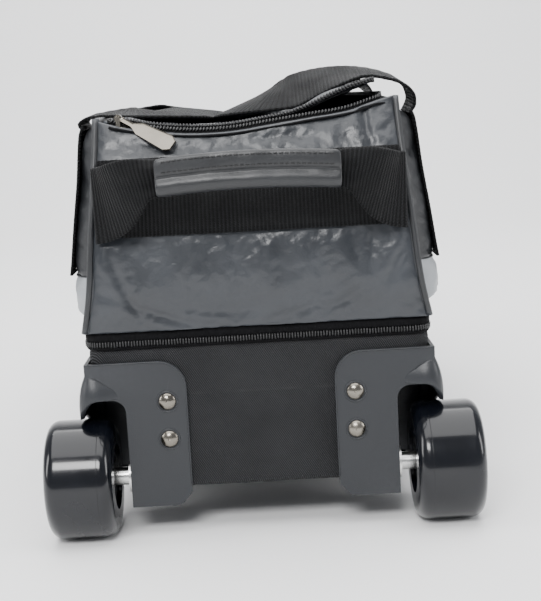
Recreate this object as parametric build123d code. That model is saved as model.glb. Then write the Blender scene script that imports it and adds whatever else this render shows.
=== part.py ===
from build123d import *
import math
import os

os.makedirs("parts", exist_ok=True)

# A two-ball sports bag on wheels. X is the width, -Y is the wheel end, +Y the pull-handle end, +Z is up.
# The origin is on the ground, under the middle of the bag. All sizes are in millimetres.

# ---------------------------------------------------------------- driving sizes
base_length = 500.0
base_width = 228.0
base_bottom = 33.0
base_top = 129.0
band_height = 12.0
upper_height = 143.0
base_corner_radius = 12.0
ball_diameter = 216.0

# walls and cloths
cover_thickness = 2.0
pan_wall = 2.5
pan_rim_drop = 4.0
band_thickness = 2.0
band_overhang = 1.5
panel_thickness = 4.0
lid_thickness = 3.0
lining_thickness = 1.2
webbing_width = 50.0
webbing_thickness = 2.4
piping_size = 4.1
piping_proud = 1.6

# wheels and their axles
wheel_radius = 40.0
wheel_width = 45.1
wheel_track_out = 31.6
wheel_shoulder = 8.0
hub_radius = 22.0
hub_recess = 3.5
bearing_outer_radius = 11.0
bearing_width = 7.0
axle_radius = 4.0
axle_setback = 8.6
axle_head_height = 5.0
axle_head_across = 13.0
axle_washer_radius = 11.0
axle_washer_thickness = 1.6
axle_spacer_radius = 6.0
axle_nut_height = 6.0

# moulded wheel housings
housing_wall = 2.4
housing_flange = 3.0
well_depth = 58.0
well_reach = 23.6
flange_reach = 64.5
fender_reach = 12.0
flange_corner_radius = 18.0
flange_foot_radius = 7.0
well_corner_radius = 9.0
side_flange_length = 27.0
arch_clearance = 3.5

# rivets
rivet_head_radius = 5.8
rivet_head_height = 2.6
rivet_shank_radius = 2.0
burr_radius = 5.0
burr_thickness = 1.0
rivet_row_drops = (53.2, 27.4)
side_rivet_inset = 12.0

# feet and skid rails
rail_width = 12.0
rail_height = 6.0
foot_length = 38.0
foot_width = 30.0
foot_inset = 8.0
screw_radius = 2.0
screw_head_radius = 4.0
screw_head_height = 2.6

# pull handle
channel_width = 24.0
channel_height = 19.0
tube_wall = 1.2
stop_length = 5.0
bezel_thickness = 4.0
bezel_rim = 6.0
bezel_height = 38.0
handle_bar_depth = 22.0
handle_bar_height = 22.0
button_half_width = 14.0
button_depth = 8.0
button_proud = 2.0
button_travel = 2.0
spring_radius = 3.1
spring_wire = 0.8
spring_seat_depth = 4.0
rod_radius = 1.5

# grab handles on the two ends
grab_half_width = 58.0
grab_height = 25.0
grab_depth = 12.0
grab_reach = 42.0
grab_leg_height = 44.0

# top zip, side pockets, straps
zip_coil_size = 2.8
zip_tape = 1.2
pocket_corner_radius = 24.0

# clearances
slide_clearance = 0.3
running_clearance = 0.05
hole_clearance = 0.1
body_gap = 0.3
skin_gap = 0.1

# ---------------------------------------------------------------- worked-out sizes
half_length = base_length / 2
half_width = base_width / 2
upper_bottom = base_top + band_height
upper_top = upper_bottom + upper_height
wheel_outer_face = half_width + wheel_track_out
well_inner_x = half_width - well_reach
well_top = 2 * wheel_radius + 15.5
housing_top = base_top - 8.5
housing_bottom = base_bottom - 12.0
flange_inner_x = half_width - flange_reach
fender_outer_x = half_width + fender_reach
end_rivet_x = flange_inner_x + 13.1
rail_x = half_width - 44.0
rail_start = -half_length + 80.0
rail_end = half_length - 60.0
foot_x = half_width - 39.0
tube_x = half_width - 56.0
tube_z = base_bottom + 15.5
channel_start = -half_length + 85.0
mid_tube_start = channel_start + 20.0
inner_tube_start = channel_start + 35.0
bezel_half_width = tube_x + 28.0
handle_bar_half_width = tube_x + 14.0
grab_z = upper_top - 41.0
web_band_z0 = upper_top - 80.0
zip_start_x = -half_width + 24.0
slider_x = -half_width + 30.0
pocket_half_length = half_length - 50.0
pocket_top = upper_top - 8.0
strap_y = pocket_half_length - 40.0
strap_leg_bottom = upper_bottom + 30.0
strap_pivot_x = half_width + 3.5
strap_pivot_z = pocket_top + 4.0
side_slider_y = half_length - 100.0
rivet_rows = [housing_top - drop for drop in rivet_row_drops]
pan_half_width = half_width - cover_thickness
pan_half_length = half_length - cover_thickness
pan_bottom = base_bottom + cover_thickness
pan_floor = pan_bottom + pan_wall
pan_top = base_top - pan_rim_drop
axle_y = -half_length + axle_setback
axle_z = wheel_radius
well_back_y = -half_length + well_depth
flange_front_y = -half_length - housing_flange
side_face_x = half_width + housing_wall
side_flange_end = well_back_y + side_flange_length
mid_width = channel_width - 2 * tube_wall - 2 * slide_clearance
mid_height = channel_height - 2 * tube_wall - 2 * slide_clearance
inner_width = mid_width - 2 * tube_wall - 2 * slide_clearance
inner_height = mid_height - 2 * tube_wall - 2 * slide_clearance
bezel_front_y = half_length + bezel_thickness
bar_y0 = bezel_front_y + 1.0
bar_y1 = bar_y0 + handle_bar_depth
bar_z0 = tube_z - handle_bar_height / 2
bar_z1 = tube_z + handle_bar_height / 2
ball_radius = ball_diameter / 2


# ---------------------------------------------------------------- helpers
def box(x0, x1, y0, y1, z0, z1):
    centre = Location(((x0 + x1) / 2, (y0 + y1) / 2, (z0 + z1) / 2))
    return centre * Box(x1 - x0, y1 - y0, z1 - z0)


def rod(start, end, radius):
    along = Vector(*end) - Vector(*start)
    plane = Plane(origin=start, z_dir=along)
    return plane * Cylinder(radius, along.length, align=(Align.CENTER, Align.CENTER, Align.MIN))


def prism_along_y(face, y0, y1):
    return extrude(Location((0, y0, 0)) * face, amount=y1 - y0, dir=(0, 1, 0))


def prism_along_x(face, x0, x1):
    return extrude(Location((x0, 0, 0)) * face, amount=x1 - x0, dir=(1, 0, 0))


def polygon_xz(points):
    corners = [Vector(x, 0, z) for x, z in points]
    return make_face(Polyline(*corners, close=True))


def other_side(shape):
    return mirror(shape, about=Plane.YZ)


def other_end(shape):
    return mirror(shape, about=Plane.XZ)


def pair(shape):
    return Compound(children=[shape, other_side(shape)])


def band_between(points, low, high, place):
    """A closed face between two smooth lines that run beside the same points, low and high off them."""
    lines = []
    for offset in (low, high):
        line = []
        for i, (a, b) in enumerate(points):
            before = points[max(i - 1, 0)]
            after = points[min(i + 1, len(points) - 1)]
            run = (after[0] - before[0], after[1] - before[1])
            size = math.hypot(*run)
            line.append(place(a - run[1] / size * offset, b + run[0] / size * offset))
        lines.append(line)
    first, second = lines
    end_joint = Line(first[-1], second[-1])
    start_joint = Line(second[0], first[0])
    edges = [Spline(*first), end_joint, Spline(*reversed(second)), start_joint]
    return make_face(edges)


def in_xz(x, z):
    return Vector(x, 0, z)


def bulged_region(shape, grow, place):
    """A closed face, the same to left and right, whose half width at each height is shape plus grow."""
    right = [place(half + grow, z) for z, half in shape]
    left = [place(-half - grow, z) for z, half in reversed(shape)]
    edges = [Spline(*right), Line(right[-1], left[0]), Spline(*left), Line(left[-1], right[0])]
    return make_face(edges)


def write(name, shape):
    export_step(shape, os.path.join("parts", name + ".step"))


# ---------------------------------------------------------------- shapes of the upper bag


def up_the_wall(half, shares_and_outs):
    # each pair is a share of the upper bag's height and how far out the wall is there
    return [(upper_bottom + share * upper_height, half + out) for share, out in shares_and_outs]


side_outs = [(0.0, 1.0), (0.161, -4.0), (0.448, -8.5), (0.657, -11.5), (0.867, -13.5), (1.0, -14.0)]
end_outs = [(0.0, 1.0), (0.203, 6.0), (0.483, 3.0), (0.727, -4.0), (0.888, -14.0), (1.0, -22.0)]
pocket_outs = [
    (0.0, 13.6), (0.154, 14.6), (0.273, 12.1), (0.448, 8.6), (0.678, 3.6), (0.86, 0.6), (0.958, -1.6)
]
side_shape = up_the_wall(half_width, side_outs)
end_shape = up_the_wall(half_length, end_outs)
pocket_shape = up_the_wall(half_width, pocket_outs)
end_panel_top = upper_top - 16
left_panel_top = upper_top - 3
lid_left_x = -(half_width - 14 - panel_thickness) + 0.5
lid_right_x = half_width - 30.0
lid_half_length = half_length - 30.5


def across_the_top(shares_and_rises):
    # each pair is a share of the half width and a rise above the side panel's top
    return [(share * half_width, upper_top + rise) for share, rise in shares_and_rises]


lid_middle = [
    (-0.70, -6.5), (-0.53, -7), (-0.35, -8), (-0.18, -9), (0, -8.5), (0.18, -6), (0.35, -2.5), (0.53, 1.5)
]
lid_line = [(lid_left_x, upper_top - 6.5)] + across_the_top(lid_middle) + [(lid_right_x, upper_top + 6)]
right_strap_rise = [(1.0, 3), (0.95, 11.5), (0.85, 18), (0.70, 21.5), (0.53, 21)]
right_strap_fall = [(0.35, 17.5), (0.16, 11), (0.02, 4), (-0.11, -1.4), (-0.21, -3)]
right_strap_line = [(strap_pivot_x - 3, strap_pivot_z - 1)]
right_strap_line += across_the_top(right_strap_rise + right_strap_fall)
left_strap_rise = [(-0.99, 0.5), (-0.93, 4), (-0.84, 4.5), (-0.70, 3)]
left_strap_fall = [(-0.58, 1.5), (-0.44, 0.5), (-0.33, 0), (-0.23, -0.5)]
left_strap_line = [(3 - strap_pivot_x, strap_pivot_z - 1)]
left_strap_line += across_the_top(left_strap_rise + left_strap_fall)


def side_region(grow):
    return prism_along_y(bulged_region(side_shape, grow, in_xz), -base_length, base_length)


def end_region(grow):
    face = bulged_region(end_shape, grow, lambda y, z: Vector(0, y, z))
    return prism_along_x(face, -base_width, base_width)


def pocket_region(grow):
    return prism_along_y(bulged_region(pocket_shape, grow, in_xz), -base_length, base_length)


# ---------------------------------------------------------------- base: pan and twill cover
def rounded_block(half_x, half_y, z0, z1, radius):
    sketch = RectangleRounded(2 * half_x, 2 * half_y, radius)
    return extrude(Location((0, 0, z0)) * sketch, amount=z1 - z0)


def wheel_notch():
    # the corner that each wheel housing fills
    inner = well_inner_x - housing_wall
    back = well_back_y + housing_wall
    return pair(box(inner, base_width, -base_length, back, 0, well_top + housing_wall))


def end_rivet_points():
    return [(side * end_rivet_x, -half_length, z) for side in (-1, 1) for z in rivet_rows]


def side_rivet_points():
    y = side_flange_end - side_rivet_inset
    return [(side * half_width, y, z) for side in (-1, 1) for z in rivet_rows]


def rivet_axes():
    # each rivet is a point on the cover's outer face and the direction that its head points in
    axes = [(point, (0, -1, 0), housing_flange) for point in end_rivet_points()]
    for point in side_rivet_points():
        axes.append((point, (math.copysign(1, point[0]), 0, 0), housing_wall))
    return axes


def rivet_holes():
    holes = []
    for point, out, plate in rivet_axes():
        middle = Vector(*point)
        reach = Vector(*out) * 8
        start = middle - reach
        end = middle + reach
        hole_radius = rivet_shank_radius + hole_clearance
        holes.append(rod((start.X, start.Y, start.Z), (end.X, end.Y, end.Z), hole_radius))
    return holes


def screw_points():
    foot_y = half_length - foot_inset - foot_length / 2
    points = [(foot_x + dx, foot_y, 0.0) for dx in (-8, 8)]
    points += [(rail_x, y, base_bottom - rail_height) for y in (rail_start + 20, rail_end - 40)]
    return [(side * x, y, z) for side in (-1, 1) for x, y, z in points]


def screw_holes(z0):
    radius = screw_radius + hole_clearance
    return [rod((x, y, z0), (x, y, pan_floor + 1), radius) for x, y, z in screw_points()]


def axle_head_pockets():
    # room for the bolt heads in the pan's corner and the cover
    x1 = well_inner_x - housing_wall
    x0 = x1 - axle_head_height - 1.0
    return pair(rod((x0, axle_y, axle_z), (x1 + 1, axle_y, axle_z), axle_head_across / 2 + 1.5))


def tube_openings(width, height, y0, y1):
    right = box(tube_x - width / 2, tube_x + width / 2, y0, y1, tube_z - height / 2, tube_z + height / 2)
    return pair(right)


def base_pan():
    corner_radius = base_corner_radius - cover_thickness
    outer = rounded_block(pan_half_width, pan_half_length, pan_bottom, pan_top, corner_radius)
    inner = rounded_block(
        pan_half_width - pan_wall,
        pan_half_length - pan_wall,
        pan_floor,
        pan_top + 1,
        base_corner_radius - cover_thickness - pan_wall,
    )
    pan = outer - inner - wheel_notch()
    pan -= tube_openings(channel_width, channel_height, pan_half_length - 10, half_length + 1)
    return pan - rivet_holes() - screw_holes(0) - axle_head_pockets()


def base_cover():
    outer = rounded_block(half_width, half_length, base_bottom, base_top, base_corner_radius)
    inner = rounded_block(
        pan_half_width, pan_half_length, pan_bottom, base_top + 1, base_corner_radius - cover_thickness
    )
    cover = outer - inner - wheel_notch()
    cover -= tube_openings(channel_width, channel_height, pan_half_length - 10, half_length + 1)
    return cover - rivet_holes() - screw_holes(0) - axle_head_pockets()


def ring_round_bag(out, thickness, z0, z1):
    radius = base_corner_radius + out
    outer = rounded_block(half_width + out, half_length + out, z0, z1, radius)
    inner = rounded_block(
        half_width + out - thickness, half_length + out - thickness, z0 - 1, z1 + 1, radius - thickness
    )
    return outer - inner


write("base_pan", base_pan())
write("base_cover", base_cover())
write("base_zip_band", ring_round_bag(band_overhang, band_thickness, base_top, upper_bottom))
coil_out = band_overhang + 1.2
write("base_zip_coil", ring_round_bag(coil_out, 1.2, base_top + 2, base_top + 5.5))


# ---------------------------------------------------------------- wheel housings
def wheel_housing():
    wall_x = well_inner_x - housing_wall
    roof_z = well_top + housing_wall
    back_y = well_back_y + housing_wall
    flange = polygon_xz(
        [
            (flange_inner_x, housing_top),
            (flange_inner_x, housing_bottom + 9),
            (flange_inner_x + 7.5, housing_bottom),
            (well_inner_x, housing_bottom),
            (well_inner_x, well_top),
            (side_face_x, well_top),
            (side_face_x, housing_top),
        ]
    )
    flange = prism_along_y(flange, flange_front_y, -half_length)
    rounded_corners = [
        (flange_inner_x, housing_top, flange_corner_radius),
        (flange_inner_x, housing_bottom + 9, flange_foot_radius),
        (flange_inner_x + 7.5, housing_bottom, flange_foot_radius),
        (well_inner_x, well_top, well_corner_radius),
    ]
    for x, z, radius in rounded_corners:
        corner = flange.edges().filter_by(Axis.Y).sort_by_distance((x, -half_length - 1, z))[0]
        flange = fillet(corner, radius)

    inner_wall = box(wall_x, well_inner_x, -half_length, back_y, base_bottom - 8, roof_z)
    roof = box(well_inner_x, half_width, -half_length, back_y, well_top, roof_z)
    back = box(well_inner_x, half_width, well_back_y, back_y, base_bottom, well_top)
    side = box(half_width, side_face_x, flange_front_y, side_flange_end, base_bottom + 3, housing_top)
    side_corner = side.edges().filter_by(Axis.X).group_by(Axis.Y)[-1]
    side = fillet(side_corner, 10)
    side -= box(half_width - 1, base_width, -base_length, well_back_y, 0, well_top)

    # the fender bulges over the wheel and stops at an arch a little larger than the tread
    arch_radius = wheel_radius + arch_clearance
    bulge_line = [
        (side_face_x + 0.3, housing_top - 6),
        (side_face_x + 2.8, housing_top - 13),
        (fender_outer_x - 3, housing_top - 24),
        (fender_outer_x, housing_top - 34),
        (fender_outer_x - 0.5, housing_top - 46),
    ]
    fender = band_between(bulge_line, -housing_wall, 0, in_xz)
    fender = prism_along_y(fender, flange_front_y, well_back_y + 6)
    end_plate = polygon_xz(
        [(side_face_x - 0.5, housing_top - 6)]
        + [(x - 1.0, z) for x, z in bulge_line[1:4]]
        + [(side_face_x + 3, well_top), (side_face_x - 0.5, well_top)]
    )
    front_plate = prism_along_y(end_plate, flange_front_y, -half_length)
    back_plate = prism_along_y(end_plate, well_back_y + 6 - housing_wall, well_back_y + 6)
    housing = flange + inner_wall + roof + back + side + fender + front_plate + back_plate
    housing -= rod((well_inner_x, axle_y, axle_z), (base_width, axle_y, axle_z), arch_radius)
    hole_radius = axle_radius + hole_clearance
    axle_hole = rod((wall_x - 1, axle_y, axle_z), (well_inner_x + 1, axle_y, axle_z), hole_radius)
    return housing - axle_hole - rivet_holes()


right_housing = wheel_housing()
write("wheel_housing_right", right_housing)
write("wheel_housing_left", other_side(right_housing))


# ---------------------------------------------------------------- rivets and burr washers
def rivet(point, out, plate):
    face = Plane(origin=point, z_dir=out)
    depth = cover_thickness + pan_wall + burr_thickness
    low = (Align.CENTER, Align.CENTER, Align.MIN)
    shank = face.offset(-depth) * Cylinder(rivet_shank_radius, depth + plate, align=low)
    cap_radius = (rivet_head_radius**2 + rivet_head_height**2) / (2 * rivet_head_height)
    ball = face.offset(plate + rivet_head_height - cap_radius) * Sphere(cap_radius)
    slab = face.offset(plate) * Cylinder(rivet_head_radius + 1, rivet_head_height + 1, align=low)
    return shank + (ball & slab)


def burr(point, out, plate):
    face = Plane(origin=point, z_dir=out).offset(-cover_thickness - pan_wall - burr_thickness)
    low = (Align.CENTER, Align.CENTER, Align.MIN)
    washer = face * Cylinder(burr_radius, burr_thickness, align=low)
    hole = face.offset(-1) * Cylinder(rivet_shank_radius + hole_clearance, burr_thickness + 2, align=low)
    return washer - hole


write("housing_rivets", Compound(children=[rivet(*axis) for axis in rivet_axes()]))
write("rivet_burrs", Compound(children=[burr(*axis) for axis in rivet_axes()]))

# ---------------------------------------------------------------- wheels
wheel_inner_face = wheel_outer_face - wheel_width
hub_inner_face = wheel_inner_face + hub_recess
hub_outer_face = wheel_outer_face - hub_recess


def axle_rod(x0, x1, radius):
    return rod((x0, axle_y, axle_z), (x1, axle_y, axle_z), radius)


def tyre():
    tread = axle_rod(wheel_inner_face, wheel_outer_face, wheel_radius)
    rims = [e for e in tread.edges().filter_by(GeomType.CIRCLE)]
    tread = fillet(rims, wheel_shoulder)
    return tread - axle_rod(0, base_width, hub_radius)


def hub():
    body = axle_rod(hub_inner_face, hub_outer_face, hub_radius)
    body -= axle_rod(0, base_width, bearing_outer_radius - 2)
    body -= axle_rod(0, hub_inner_face + bearing_width, bearing_outer_radius)
    body -= axle_rod(hub_outer_face - bearing_width, base_width, bearing_outer_radius)
    lightening = []
    for i in range(6):
        turn = math.radians(60 * i + 30)
        y = axle_y + 16.5 * math.cos(turn)
        z = axle_z + 16.5 * math.sin(turn)
        lightening.append(rod((hub_outer_face - 12, y, z), (hub_outer_face + 1, y, z), 3.4))
        lightening.append(rod((hub_inner_face - 1, y, z), (hub_inner_face + 12, y, z), 3.4))
    return body - lightening


def bearing(x0):
    ring = axle_rod(x0, x0 + bearing_width, bearing_outer_radius)
    groove_depth = 0.6
    for face_x in (x0, x0 + bearing_width - groove_depth):
        groove = axle_rod(face_x, face_x + groove_depth, 8.6) - axle_rod(face_x, face_x + groove_depth, 6.2)
        ring -= groove
    return ring - axle_rod(x0 - 1, x0 + bearing_width + 1, axle_radius + running_clearance)


right_wheel = {
    "tyre": tyre(),
    "wheel_hub": hub(),
    "wheel_bearings": Compound(children=[bearing(hub_inner_face), bearing(hub_outer_face - bearing_width)]),
}
for name, shape in right_wheel.items():
    write(name + "_right", shape)
    write(name + "_left", other_side(shape))

# ---------------------------------------------------------------- axles, washers, spacers and nuts
housing_inside_x = well_inner_x - housing_wall
washer_x = well_inner_x
spacer_x = washer_x + axle_washer_thickness
spacer_end_x = hub_inner_face - body_gap
nut_x = hub_outer_face + body_gap


def hexagon(x0, x1, across):
    plane = Plane(origin=(x0, axle_y, axle_z), z_dir=(1, 0, 0))
    return extrude(plane * RegularPolygon(across / 2, 6, major_radius=False), amount=x1 - x0)


def axle():
    shaft = axle_rod(housing_inside_x, wheel_outer_face - 0.2, axle_radius)
    return shaft + hexagon(housing_inside_x - axle_head_height, housing_inside_x, axle_head_across)


def drilled(shape, clearance=0.0):
    return shape - axle_rod(0, base_width, axle_radius + clearance)


nut_end_x = min(nut_x + axle_nut_height, wheel_outer_face)
washer = drilled(axle_rod(washer_x, spacer_x, axle_washer_radius), hole_clearance)
spacer = drilled(axle_rod(spacer_x, spacer_end_x, axle_spacer_radius), hole_clearance)
lock_nut = drilled(hexagon(nut_x, nut_end_x, axle_head_across), hole_clearance)
right_axle = axle()
write("axle_right", right_axle)
write("axle_left", other_side(right_axle))
write("axle_washers", pair(washer))
write("axle_spacers", pair(spacer))
write("axle_lock_nuts", pair(lock_nut))


# ---------------------------------------------------------------- skid rails, rear feet and screws
def counterbores():
    holes = []
    for x, y, z in screw_points():
        hole_radius = screw_head_radius + hole_clearance
        holes.append(rod((x, y, z - 1), (x, y, z + screw_head_height + 1), hole_radius))
    return holes


def skid_rail():
    bottom = base_bottom - rail_height
    x0 = rail_x - rail_width / 2
    rail = box(x0, x0 + rail_width, rail_start, rail_end, bottom, base_bottom)
    rail = chamfer(rail.edges().group_by(Axis.Z)[0], 2)
    return rail - screw_holes(0) - counterbores()


def rear_foot():
    y1 = half_length - foot_inset
    y0 = y1 - foot_length
    foot = box(foot_x - foot_width / 2, foot_x + foot_width / 2, y0, y1, 0, base_bottom)
    foot = fillet(foot.edges().filter_by(Axis.Z), 6)
    foot = chamfer(foot.edges().group_by(Axis.Z)[0], 1.5)
    return foot - screw_holes(-1) - counterbores()


def screw(x, y, z):
    head_z = z + 1
    head = rod((x, y, head_z), (x, y, head_z + screw_head_height), screw_head_radius)
    return head + rod((x, y, head_z), (x, y, pan_floor - 0.3), screw_radius)


write("skid_rails", pair(skid_rail()))
write("rear_feet", pair(rear_foot()))
write("base_screws", Compound(children=[screw(*point) for point in screw_points()]))


# ---------------------------------------------------------------- telescoping pull handle
def tube(width, height, y0, y1):
    outer = box(tube_x - width / 2, tube_x + width / 2, y0, y1, tube_z - height / 2, tube_z + height / 2)
    hollow_width = width / 2 - tube_wall
    hollow_height = height / 2 - tube_wall
    outer = fillet(outer.edges().filter_by(Axis.Y), 1.5)
    hollow = box(
        tube_x - hollow_width,
        tube_x + hollow_width,
        y0 - 1,
        y1 + 1,
        tube_z - hollow_height,
        tube_z + hollow_height,
    )
    return outer - hollow


def stop_block(width, height, y0):
    z0 = tube_z - height / 2
    z1 = tube_z + height / 2
    block = box(tube_x - width / 2, tube_x + width / 2, y0, y0 + stop_length, z0, z1)
    return fillet(block.edges().filter_by(Axis.Y), 1.5)


saddle_places = (channel_start + 15.0, (channel_start + half_length) / 2, half_length - 40.0)


def saddle(y):
    wide = channel_width / 2
    high = channel_height / 2
    clamp = box(tube_x - wide - 2, tube_x + wide + 2, y - 8, y + 8, pan_floor, tube_z + high + 2)
    clamp -= box(tube_x - wide, tube_x + wide, y - 9, y + 9, tube_z - high, tube_z + high)
    return clamp


def bezel():
    z0 = tube_z - bezel_height / 2
    z1 = tube_z + bezel_height / 2
    plate = box(-bezel_half_width, bezel_half_width, half_length, bezel_front_y + bezel_rim, z0, z1)
    plate = fillet(plate.edges().filter_by(Axis.Y), 8)
    rim = 2.5
    cup = box(
        -bezel_half_width + rim,
        bezel_half_width - rim,
        bezel_front_y,
        bezel_front_y + bezel_rim + 1,
        z0 + rim,
        z1 - rim,
    )
    cup = fillet(cup.edges().filter_by(Axis.Y), 6)
    hole = tube_openings(
        mid_width + 2 * slide_clearance, mid_height + 2 * slide_clearance, half_length - 1, bezel_front_y + 1
    )
    return plate - cup - hole


bar_mid_y = (bar_y0 + bar_y1) / 2
button_z1 = bar_z1 + button_proud
link_z0 = tube_z + 1
link_z1 = link_z0 + 3
link_half_depth = 2.0
link_half_width = tube_x + 2
slot_gap = 0.5


def handle_bar():
    bar = box(-handle_bar_half_width, handle_bar_half_width, bar_y0, bar_y1, bar_z0, bar_z1)
    bar = fillet(bar.edges().filter_by(Axis.X), 8)
    bar = fillet(bar.edges().group_by(Axis.X)[0], 3)
    bar = fillet(bar.edges().group_by(Axis.X)[-1], 3)
    well = box(
        -button_half_width - slide_clearance,
        button_half_width + slide_clearance,
        bar_mid_y - button_depth / 2 - slide_clearance,
        bar_mid_y + button_depth / 2 + slide_clearance,
        link_z0 - button_travel - slot_gap,
        bar_z1 + 1,
    )
    slot = box(
        -link_half_width - slot_gap,
        link_half_width + slot_gap,
        bar_mid_y - link_half_depth - slot_gap,
        bar_mid_y + link_half_depth + slot_gap,
        link_z0 - button_travel - slot_gap,
        link_z1 + slot_gap,
    )
    rod_hole = rod((tube_x, bar_y0 - 1, tube_z), (tube_x, bar_mid_y, tube_z), rod_radius + slide_clearance)
    return bar - well - slot - rod_hole - other_side(rod_hole)


def release_button():
    cap = box(
        -button_half_width,
        button_half_width,
        bar_mid_y - button_depth / 2,
        bar_mid_y + button_depth / 2,
        link_z0,
        button_z1,
    )
    cap = fillet(cap.edges().group_by(Axis.Z)[-1], 1.2)
    link = box(
        -link_half_width,
        link_half_width,
        bar_mid_y - link_half_depth,
        bar_mid_y + link_half_depth,
        link_z0,
        link_z1,
    )
    seat_top = link_z0 + spring_seat_depth
    seat_radius = spring_radius + slot_gap
    spring_seat = rod((0, bar_mid_y, link_z0 - 1), (0, bar_mid_y, seat_top), seat_radius)
    return cap + link - spring_seat


def button_spring():
    # the coil spring under the button, as the ring that its turns fill, at
    # the height it has with the button pressed
    z0 = link_z0 - button_travel - slot_gap
    z1 = link_z0 + spring_seat_depth - button_travel - skin_gap
    ring = rod((0, bar_mid_y, z0), (0, bar_mid_y, z1), spring_radius)
    middle = rod((0, bar_mid_y, z0 - 1), (0, bar_mid_y, z1 + 1), spring_radius - spring_wire)
    return ring - middle


rod_end_y = bar_mid_y - link_half_depth - slot_gap - button_travel - body_gap
rod_start_y = inner_tube_start + stop_length + 2
release_rod = rod((tube_x, rod_start_y, tube_z), (tube_x, rod_end_y, tube_z), rod_radius)
write("handle_channels", pair(tube(channel_width, channel_height, channel_start, half_length)))
write("channel_saddles", Compound(children=[pair(saddle(y)) for y in saddle_places]))
write("handle_bezel", bezel())
write("mid_tubes", pair(tube(mid_width, mid_height, mid_tube_start, bezel_front_y - 0.5)))
write("mid_tube_stops", pair(stop_block(mid_width, mid_height, mid_tube_start - stop_length)))
write("inner_tubes", pair(tube(inner_width, inner_height, inner_tube_start, bar_y0)))
write("inner_tube_stops", pair(stop_block(inner_width, inner_height, inner_tube_start - stop_length)))
write("handle_bar", handle_bar())
write("release_button", release_button())
write("button_spring", button_spring())
write("release_rods", pair(release_rod))


# ---------------------------------------------------------------- foam cradle with two ball seats
cradle_top = base_top - 43.0
cradle_half_width = well_inner_x - housing_wall - axle_head_height - 2.0
cradle_half_length = half_length - 22.0
ball_centre_z = pan_floor + 20.0 + ball_radius


def foam_cradle():
    cradle = box(
        -cradle_half_width, cradle_half_width, -cradle_half_length, cradle_half_length, pan_floor, cradle_top
    )
    cradle = fillet(cradle.edges().filter_by(Axis.Z), 10)
    trough = box(
        tube_x - channel_width / 2 - 3,
        tube_x + channel_width / 2 + 3,
        channel_start - 5,
        base_length,
        pan_floor - 1,
        tube_z + channel_height / 2 + 3,
    )
    for y in (-ball_radius - 3, ball_radius + 3):
        cradle -= Location((0, y, ball_centre_z)) * Sphere(ball_radius + 1)
    return cradle - trough - other_side(trough)


write("foam_cradle", foam_cradle())

# ---------------------------------------------------------------- upper bag: panels, piping, pockets
sides_out = side_region(0)
sides_in = side_region(-panel_thickness)
ends_out = end_region(0)
ends_in = end_region(-panel_thickness)
piping_in = piping_size - piping_proud
piping_zone = (side_region(piping_proud) - side_region(-piping_in)) & (
    end_region(piping_proud) - end_region(-piping_in)
)


def trimmed(shape, x0, x1, y0, y1, z0, z1):
    return shape & box(x0, x1, y0, y1, z0, z1)


end_shell = (ends_out - ends_in) & sides_out
front_panel = trimmed(end_shell, -base_width, base_width, -base_length, 0, upper_bottom, end_panel_top)
front_panel -= piping_zone
write("end_panel_front", front_panel)
write("end_panel_rear", other_end(front_panel))
side_shell = (sides_out - sides_in) & ends_in
left_panel = trimmed(side_shell, -base_width, 0, -base_length, base_length, upper_bottom, left_panel_top)
left_panel -= piping_zone
right_panel = trimmed(side_shell, 0, base_width, -base_length, base_length, upper_bottom, upper_top)
right_panel -= piping_zone
write("side_panel_left", left_panel)
write("side_panel_right", right_panel)
piping = trimmed(
    piping_zone, -base_width, base_width, -base_length, base_length, upper_bottom, end_panel_top
)
write("corner_piping", piping)

pocket_plan = extrude(
    Location((0, 0, upper_bottom))
    * RectangleRounded(base_width + 40, 2 * pocket_half_length, pocket_corner_radius),
    amount=upper_height,
)
pocket_z0 = upper_bottom + 0.2
pockets = (pocket_region(0) - side_region(skin_gap)) & pocket_plan
right_pocket = trimmed(pockets, 0, base_width, -base_length, base_length, pocket_z0, pocket_top)
write("side_pocket_right", right_pocket)
write("side_pocket_left", other_side(right_pocket))


# ---------------------------------------------------------------- straps sewn to the sides
def strap_legs():
    skin = pocket_region(webbing_thickness) - pocket_region(skin_gap)
    y0 = strap_y - webbing_width / 2
    leg = trimmed(skin, 0, base_width, y0, y0 + webbing_width, strap_leg_bottom, pocket_top)
    return Compound(children=[leg, other_end(leg)])


def strap_loop(line, inner_edge_x):
    sheet = band_between(line, -webbing_thickness / 2, webbing_thickness / 2, in_xz)
    reach = strap_y + webbing_width / 2
    sheet = prism_along_y(sheet, -reach, reach)
    clear = strap_y - webbing_width / 2
    outer_x = math.copysign(base_width, inner_edge_x)
    return sheet - box(min(inner_edge_x, outer_x), max(inner_edge_x, outer_x), -clear, clear, 0, 400)


right_legs = strap_legs()
write("strap_legs_right", right_legs)
write("strap_legs_left", other_side(right_legs))
write("carry_strap_right", strap_loop(right_strap_line, right_strap_line[-1][0] + webbing_width))
write("carry_strap_left", strap_loop(left_strap_line, left_strap_line[-1][0] - webbing_width))

# ---------------------------------------------------------------- grab handles and the webbing behind them
web_band = (end_region(webbing_thickness + skin_gap) - end_region(skin_gap)) & side_region(-piping_in - 1)
web_band = trimmed(
    web_band, -base_width, base_width, -base_length, 0, web_band_z0, web_band_z0 + webbing_width
)
write("end_webbing_front", web_band)
write("end_webbing_rear", other_end(web_band))
band_face_y = -half_length - 7.5
grip_back_y = -half_length - grab_reach + grab_depth


def grab_grip():
    bar = box(
        -grab_half_width,
        grab_half_width,
        grip_back_y - grab_depth,
        grip_back_y,
        grab_z - grab_height / 2,
        grab_z + grab_height / 2,
    )
    return fillet(bar.edges().filter_by(Axis.X), 5)


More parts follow.
